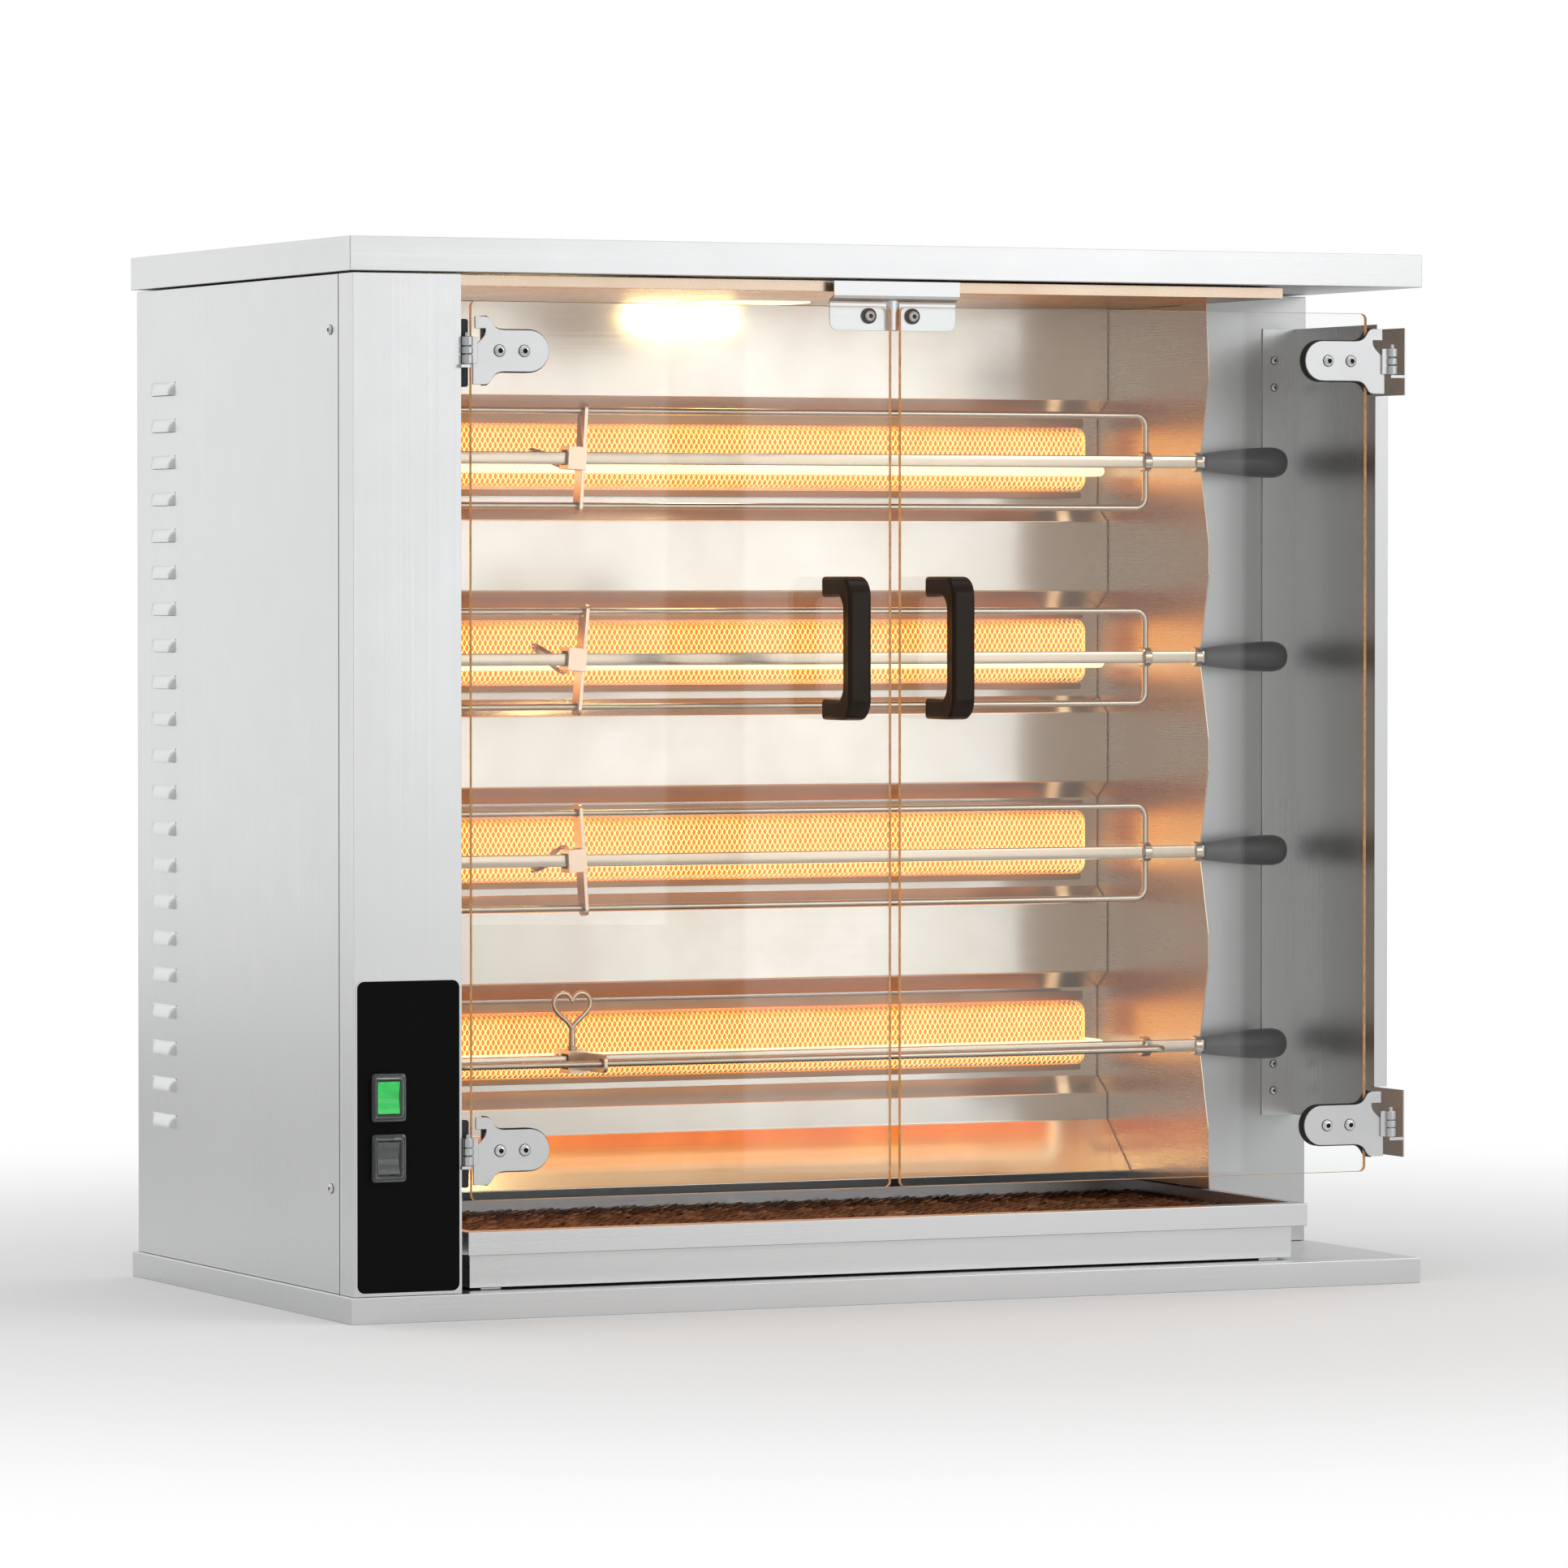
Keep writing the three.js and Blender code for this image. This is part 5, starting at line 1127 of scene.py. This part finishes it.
for side, way in (("left", 1), ("right", -1)):
    for end in ("top", "bottom"):
        low, high = box(f"{side}_hinge_{end}")
        glass_low, glass_high = box(f"{side}_door_glass")
        pin_x = low.x + EYE_RADIUS if way > 0 else high.x - EYE_RADIUS
        pin_y = low.y + EYE_RADIUS
        reach = high.x - pin_x if way > 0 else pin_x - low.x
        z = (low.z + high.z) / 2
        face = high.y - PLATE

        def shifted(points):
            """Points about the pin's middle, moved to where this hinge is."""
            return [(pin_x + u, z + v) for u, v in points]

        plate = bmesh.new()
        prism(plate, shifted(hinge_outline(way, reach)), (face, high.y))
        for foot, top in EYE_KNUCKLES:
            turned(plate, [(foot, 3.9), (foot + 0.6, 4.5), (top - 0.6, 4.5), (top, 3.9)],
                   (pin_x, pin_y, z), (0, 0, 1), sides=24)
        web = sorted((pin_x + way * 2.5, pin_x + way * 9))
        prism(plate, rounded(web, (z - 10.6, z + 10.6), 1.0, 3), (pin_y + 0.5, high.y - 0.2))
        piece(f"{side}_{end}_hinge_plate", plate, f"{side}_door", "hinge_steel", nickel,
              replaces=[f"{side}_hinge_{end}"], edge=0.45, steps=3, smooth=30)

        pads = bmesh.new()
        inner_edge = [(u, v) for u, v in hinge_outline(way, reach, 0.9, notch=False) if way * u > 9.5]
        for span in ((glass_low.y - 0.28, glass_low.y - 0.02), (glass_high.y + 0.05, glass_high.y + GASKET)):
            prism(pads, shifted(inner_edge), span)
        piece(f"{side}_{end}_hinge_pads", pads, f"{side}_door", "black_plastic", rubber, edge=0.1)

        clasp = bmesh.new()
        clasp_edge = [(u, v) for u, v in hinge_outline(way, reach, -0.6, notch=False) if way * u > 11]
        back = glass_high.y + GASKET
        prism(clasp, shifted(clasp_edge), (back + 0.02, back + INNER_PLATE))
        piece(f"{side}_{end}_hinge_clasp", clasp, f"{side}_door", "hinge_steel", nickel, edge=0.5, steps=3)

        screws(f"{side}_{end}_hinge_screws", (0, -1, 0),
               [(pin_x + way * (reach - inset), face, z) for inset in SCREWS_FROM_TIP],
               f"{side}_door", "hinge_steel", 9.4, 2.5, 4.0)

        # At the left door, a black strip on the cabinet beside each hinge's pin, in the rubber finish:
        # painted shadow of the hinge on the column's edge.
        if way > 0:
            shadow_strip = bmesh.new()
            strip = rounded((pin_x - 3.6, pin_x + 2.6), (z - SHADOW_STRIP_DOWN, z + SHADOW_STRIP_UP), 2)
            prism(shadow_strip, strip, (pin_y + 4.9, pin_y + 11))
            piece(f"{side}_{end}_hinge_seal", shadow_strip, "cabinet", "black_plastic", rubber, edge=0.5)


# ------------------------------------------------------------------ door handles
# Bow handles moulded in dark phenolic, its brown tint partly a painted warm sheen of the heaters' glow: a bar
# bent back at both ends on to two square feet, with its edges well rounded. They are held from inside by
# screws through the pane.
phenolic_and_painted_sheen, tree, place = material("phenolic_and_painted_sheen")
grit = tree.noise(place, 800.0, 2.0)
rub = tree.noise(place, 35.0, 3.0)
# The brown base colour is partly the phenolic's own tone and partly painted sheen: a warm tint standing in
# for the heaters' glow mirrored on the handles' sides.
surface(tree, Base_Color=tree.blend(rub, (0.010, 0.0055, 0.003, 1), (0.024, 0.012, 0.006, 1)),
        Roughness=0.2 + (grit - 0.5) * 0.1 - (rub - 0.5) * 0.1, Specular_IOR_Level=0.16,
        Normal=tree.bump(grit, 0.1, 0.0003))
BOW_THICK = 15           # the grip, front to back
BOW_FOOT = 17            # each foot, top to bottom
BOW_OUTER, BOW_INNER = 17, 11                # bend radii of the bow's two sides
HANDLE_SCREW = 10        # each screw from the handle's end


def bow(low, high):
    """The bow's side view: a bar bent back at both ends on to its feet."""
    turns = [pi / 2 * i / 8 for i in range(9)]
    outside = [(low.y + BOW_OUTER * (1 - cos(a)), BOW_OUTER * (1 - sin(a))) for a in turns]
    inside = [(low.y + BOW_THICK + BOW_INNER * (1 - cos(a)), BOW_FOOT + BOW_INNER * (1 - sin(a)))
              for a in turns]
    outer_half, inner_half = [*outside, (high.y, 0)], [*inside, (high.y, BOW_FOOT)]
    return [*((y, high.z - z) for y, z in reversed(inner_half)), *((y, low.z + z) for y, z in inner_half),
            *((y, low.z + z) for y, z in reversed(outer_half)), *((y, high.z - z) for y, z in outer_half)]


for side in ("left", "right"):
    low, high = box(f"{side}_door_handle")
    handle = bmesh.new()
    prism(handle, bow(low, high), (low.x, high.x), axis="x")
    piece(f"{side}_bow_handle", handle, f"{side}_door", "black_plastic", phenolic_and_painted_sheen,
          replaces=[f"{side}_door_handle"], edge=3.2, steps=5)
    glass_back = box(f"{side}_door_glass")[1].y
    middle_x = (low.x + high.x) / 2
    screws(f"{side}_handle_screws", (0, 1, 0),
           [(middle_x, glass_back, z) for z in (low.z + HANDLE_SCREW, high.z - HANDLE_SCREW)],
           f"{side}_door", "hinge_steel", 9.0, 2.4, 3.2)


# ------------------------------------------------------------------ door stop
# A joggled strip screwed up under the roof's edge; its tongue hangs behind both panes where they meet.
# Two domed rubber-faced buffers with steel screws take the doors, either side of a pressed rib.
stop_low, stop_high = box("door_stop")
STOP_JOGGLE = 15
TONGUE = 1.2
STOP_CORNER = 7
BUFFER_PLACES = (-21.8, 17.2)                # from the strip's middle
BUFFER_RISE = 12         # above the tongue's lower edge
WASHER = 2.6
front, rear = stop_low.y, stop_high.y
tongue_face = rear - TONGUE
bend_z = stop_high.z - STOP_JOGGLE
stop_middle = (stop_low.x + stop_high.x) / 2
joggle = [(front, stop_high.z), (front, bend_z + 3), (front + 1.6, bend_z + 0.8),
          (rear - 1.6, bend_z - 1.2), (tongue_face, bend_z - 3), (rear, bend_z - 3),
          (rear - 0.4, bend_z + 0.4), (front + 2.6, bend_z + 2.4), (front + TONGUE, bend_z + 4),
          (front + TONGUE, stop_high.z)]
rib = [(stop_middle + u, tongue_face - v) for u, v in
       ((-6, 0), (-4.4, 1.4), (-2.6, 2.4), (2.6, 2.4), (4.4, 1.4), (6, 0))]
stop = bmesh.new()
prism(stop, rounded((stop_low.x, stop_high.x), (stop_low.z, bend_z + 4), STOP_CORNER, 8), (tongue_face, rear))
prism(stop, joggle, (stop_low.x, stop_high.x), axis="x")
prism(stop, rib, (stop_low.z + 0.4, bend_z - 0.5), axis="z")
piece("stop_strip", stop, "cabinet", "hinge_steel", level_steel, replaces=["door_stop"], edge=0.3, smooth=30)

washer = bmesh.new()
turned(washer, [(0.0, 6.4), (1.8, 6.4), (2.3, 6.0), (2.3, 4.6), (WASHER, 4.6)], (0, 0, 0), (0, -1, 0),
       sides=32)
buffer_spots = [(stop_middle + x, tongue_face, stop_low.z + BUFFER_RISE) for x in BUFFER_PLACES]
copies("stop_washers", washer, buffer_spots, "cabinet", "black_plastic", rubber)
screws("stop_screws", (0, -1, 0), [(x, y - WASHER, z) for x, y, z in buffer_spots],
       "cabinet", "hinge_steel", 9.0, 2.4, 3.8)


# ------------------------------------------------------------------ hinge post
# A folded guard screwed to the bay front, with an ear top and bottom for the right door's pins.
# It is cut from the same brushed sheet as the casing.
keep(upright_steel, "hinge_post", edge=0.4)
post_low, post_high = box("hinge_post")
POST_SCREW_X = 11        # screws from the flange's free edge
POST_SCREWS_DOWN = (27, 50)                  # from the post's upper end
POST_SCREWS_UP = (45, 68)                    # from its lower end
post_screw_z = [*(post_high.z - inset for inset in POST_SCREWS_DOWN),
                *(post_low.z + inset for inset in POST_SCREWS_UP)]
screws("post_screws", (0, -1, 0),
       [(post_low.x + POST_SCREW_X, post_high.y - SHEET, z) for z in post_screw_z],
       "cabinet", "hinge_steel", 6.6, 1.9, 2.8)


# ------------------------------------------------------------------ drip tray and grids
# A deep pan that slides out over the base, its front rim folded down as a bright lip.
# Two drop-in grids of browned expanded metal, each in a flat frame on feet, meet in the middle.
keep(level_steel, "drip_tray", edge=1.2, steps=3)
browned, tree, place = material("browned_steel")
crust = tree.noise(place, 45.0, 5.0, 0.65)
fat = tree.noise(place, 160.0, 3.0, 0.6)
burnt = tree.node("ShaderNodeValToRGB", {"stops": [(0.3, (0.018, 0.007, 0.003)), (0.5, (0.10, 0.036, 0.013)),
                                                     (0.72, (0.40, 0.22, 0.12))]}, crust).out("Color")
surface(tree, Base_Color=burnt, Metallic=0.75, Roughness=0.22 + crust * 0.35 + (fat - 0.5) * 0.1,
        Normal=tree.bump(fat, 0.35, 0.0006))
GRID_CELL = (14, 38)
GRID_STRAND, GRID_THICK, GRID_LIFT = 4.4, 1.8, 2.4
FRAME_FLAT = 7
FOOT_INSET, FOOT_THICK = 12, 2.4
for side in ("left", "right"):
    low, high = box(f"drip_grid_{side}")
    middle = (low + high) / 2
    wide, deep = high.x - low.x, high.y - low.y
    top = high.z - GRID_LIFT - GRID_THICK / 2
    grill = diamond_net(deep - 2 * FRAME_FLAT, wide - 2 * FRAME_FLAT, GRID_CELL,
                        GRID_STRAND, GRID_THICK, GRID_LIFT, browned)
    bmesh.ops.rotate(grill, cent=(0, 0, 0), matrix=Matrix.Rotation(radians(90), 3, "Z"), verts=grill.verts)
    bmesh.ops.translate(grill, vec=(middle.x, middle.y, top), verts=grill.verts)
    outer, inner = (((low.x + inset, high.x - inset), (low.y + inset, high.y - inset))
                    for inset in (0, FRAME_FLAT))
    prism(grill, rounded(*outer, 3), (top - 1.5, top + 1.2), axis="z", hole=rounded(*inner, 2))
    for foot_y in (low.y + FOOT_INSET, high.y - FOOT_INSET):
        foot = rounded((low.x + 8, high.x - 8), (foot_y - FOOT_THICK / 2, foot_y + FOOT_THICK / 2), 0.8)
        prism(grill, foot, (low.z, top), axis="z")
    piece(f"drip_grill_{side}", grill, "drip_tray", "grid_steel", browned, replaces=[f"drip_grid_{side}"])
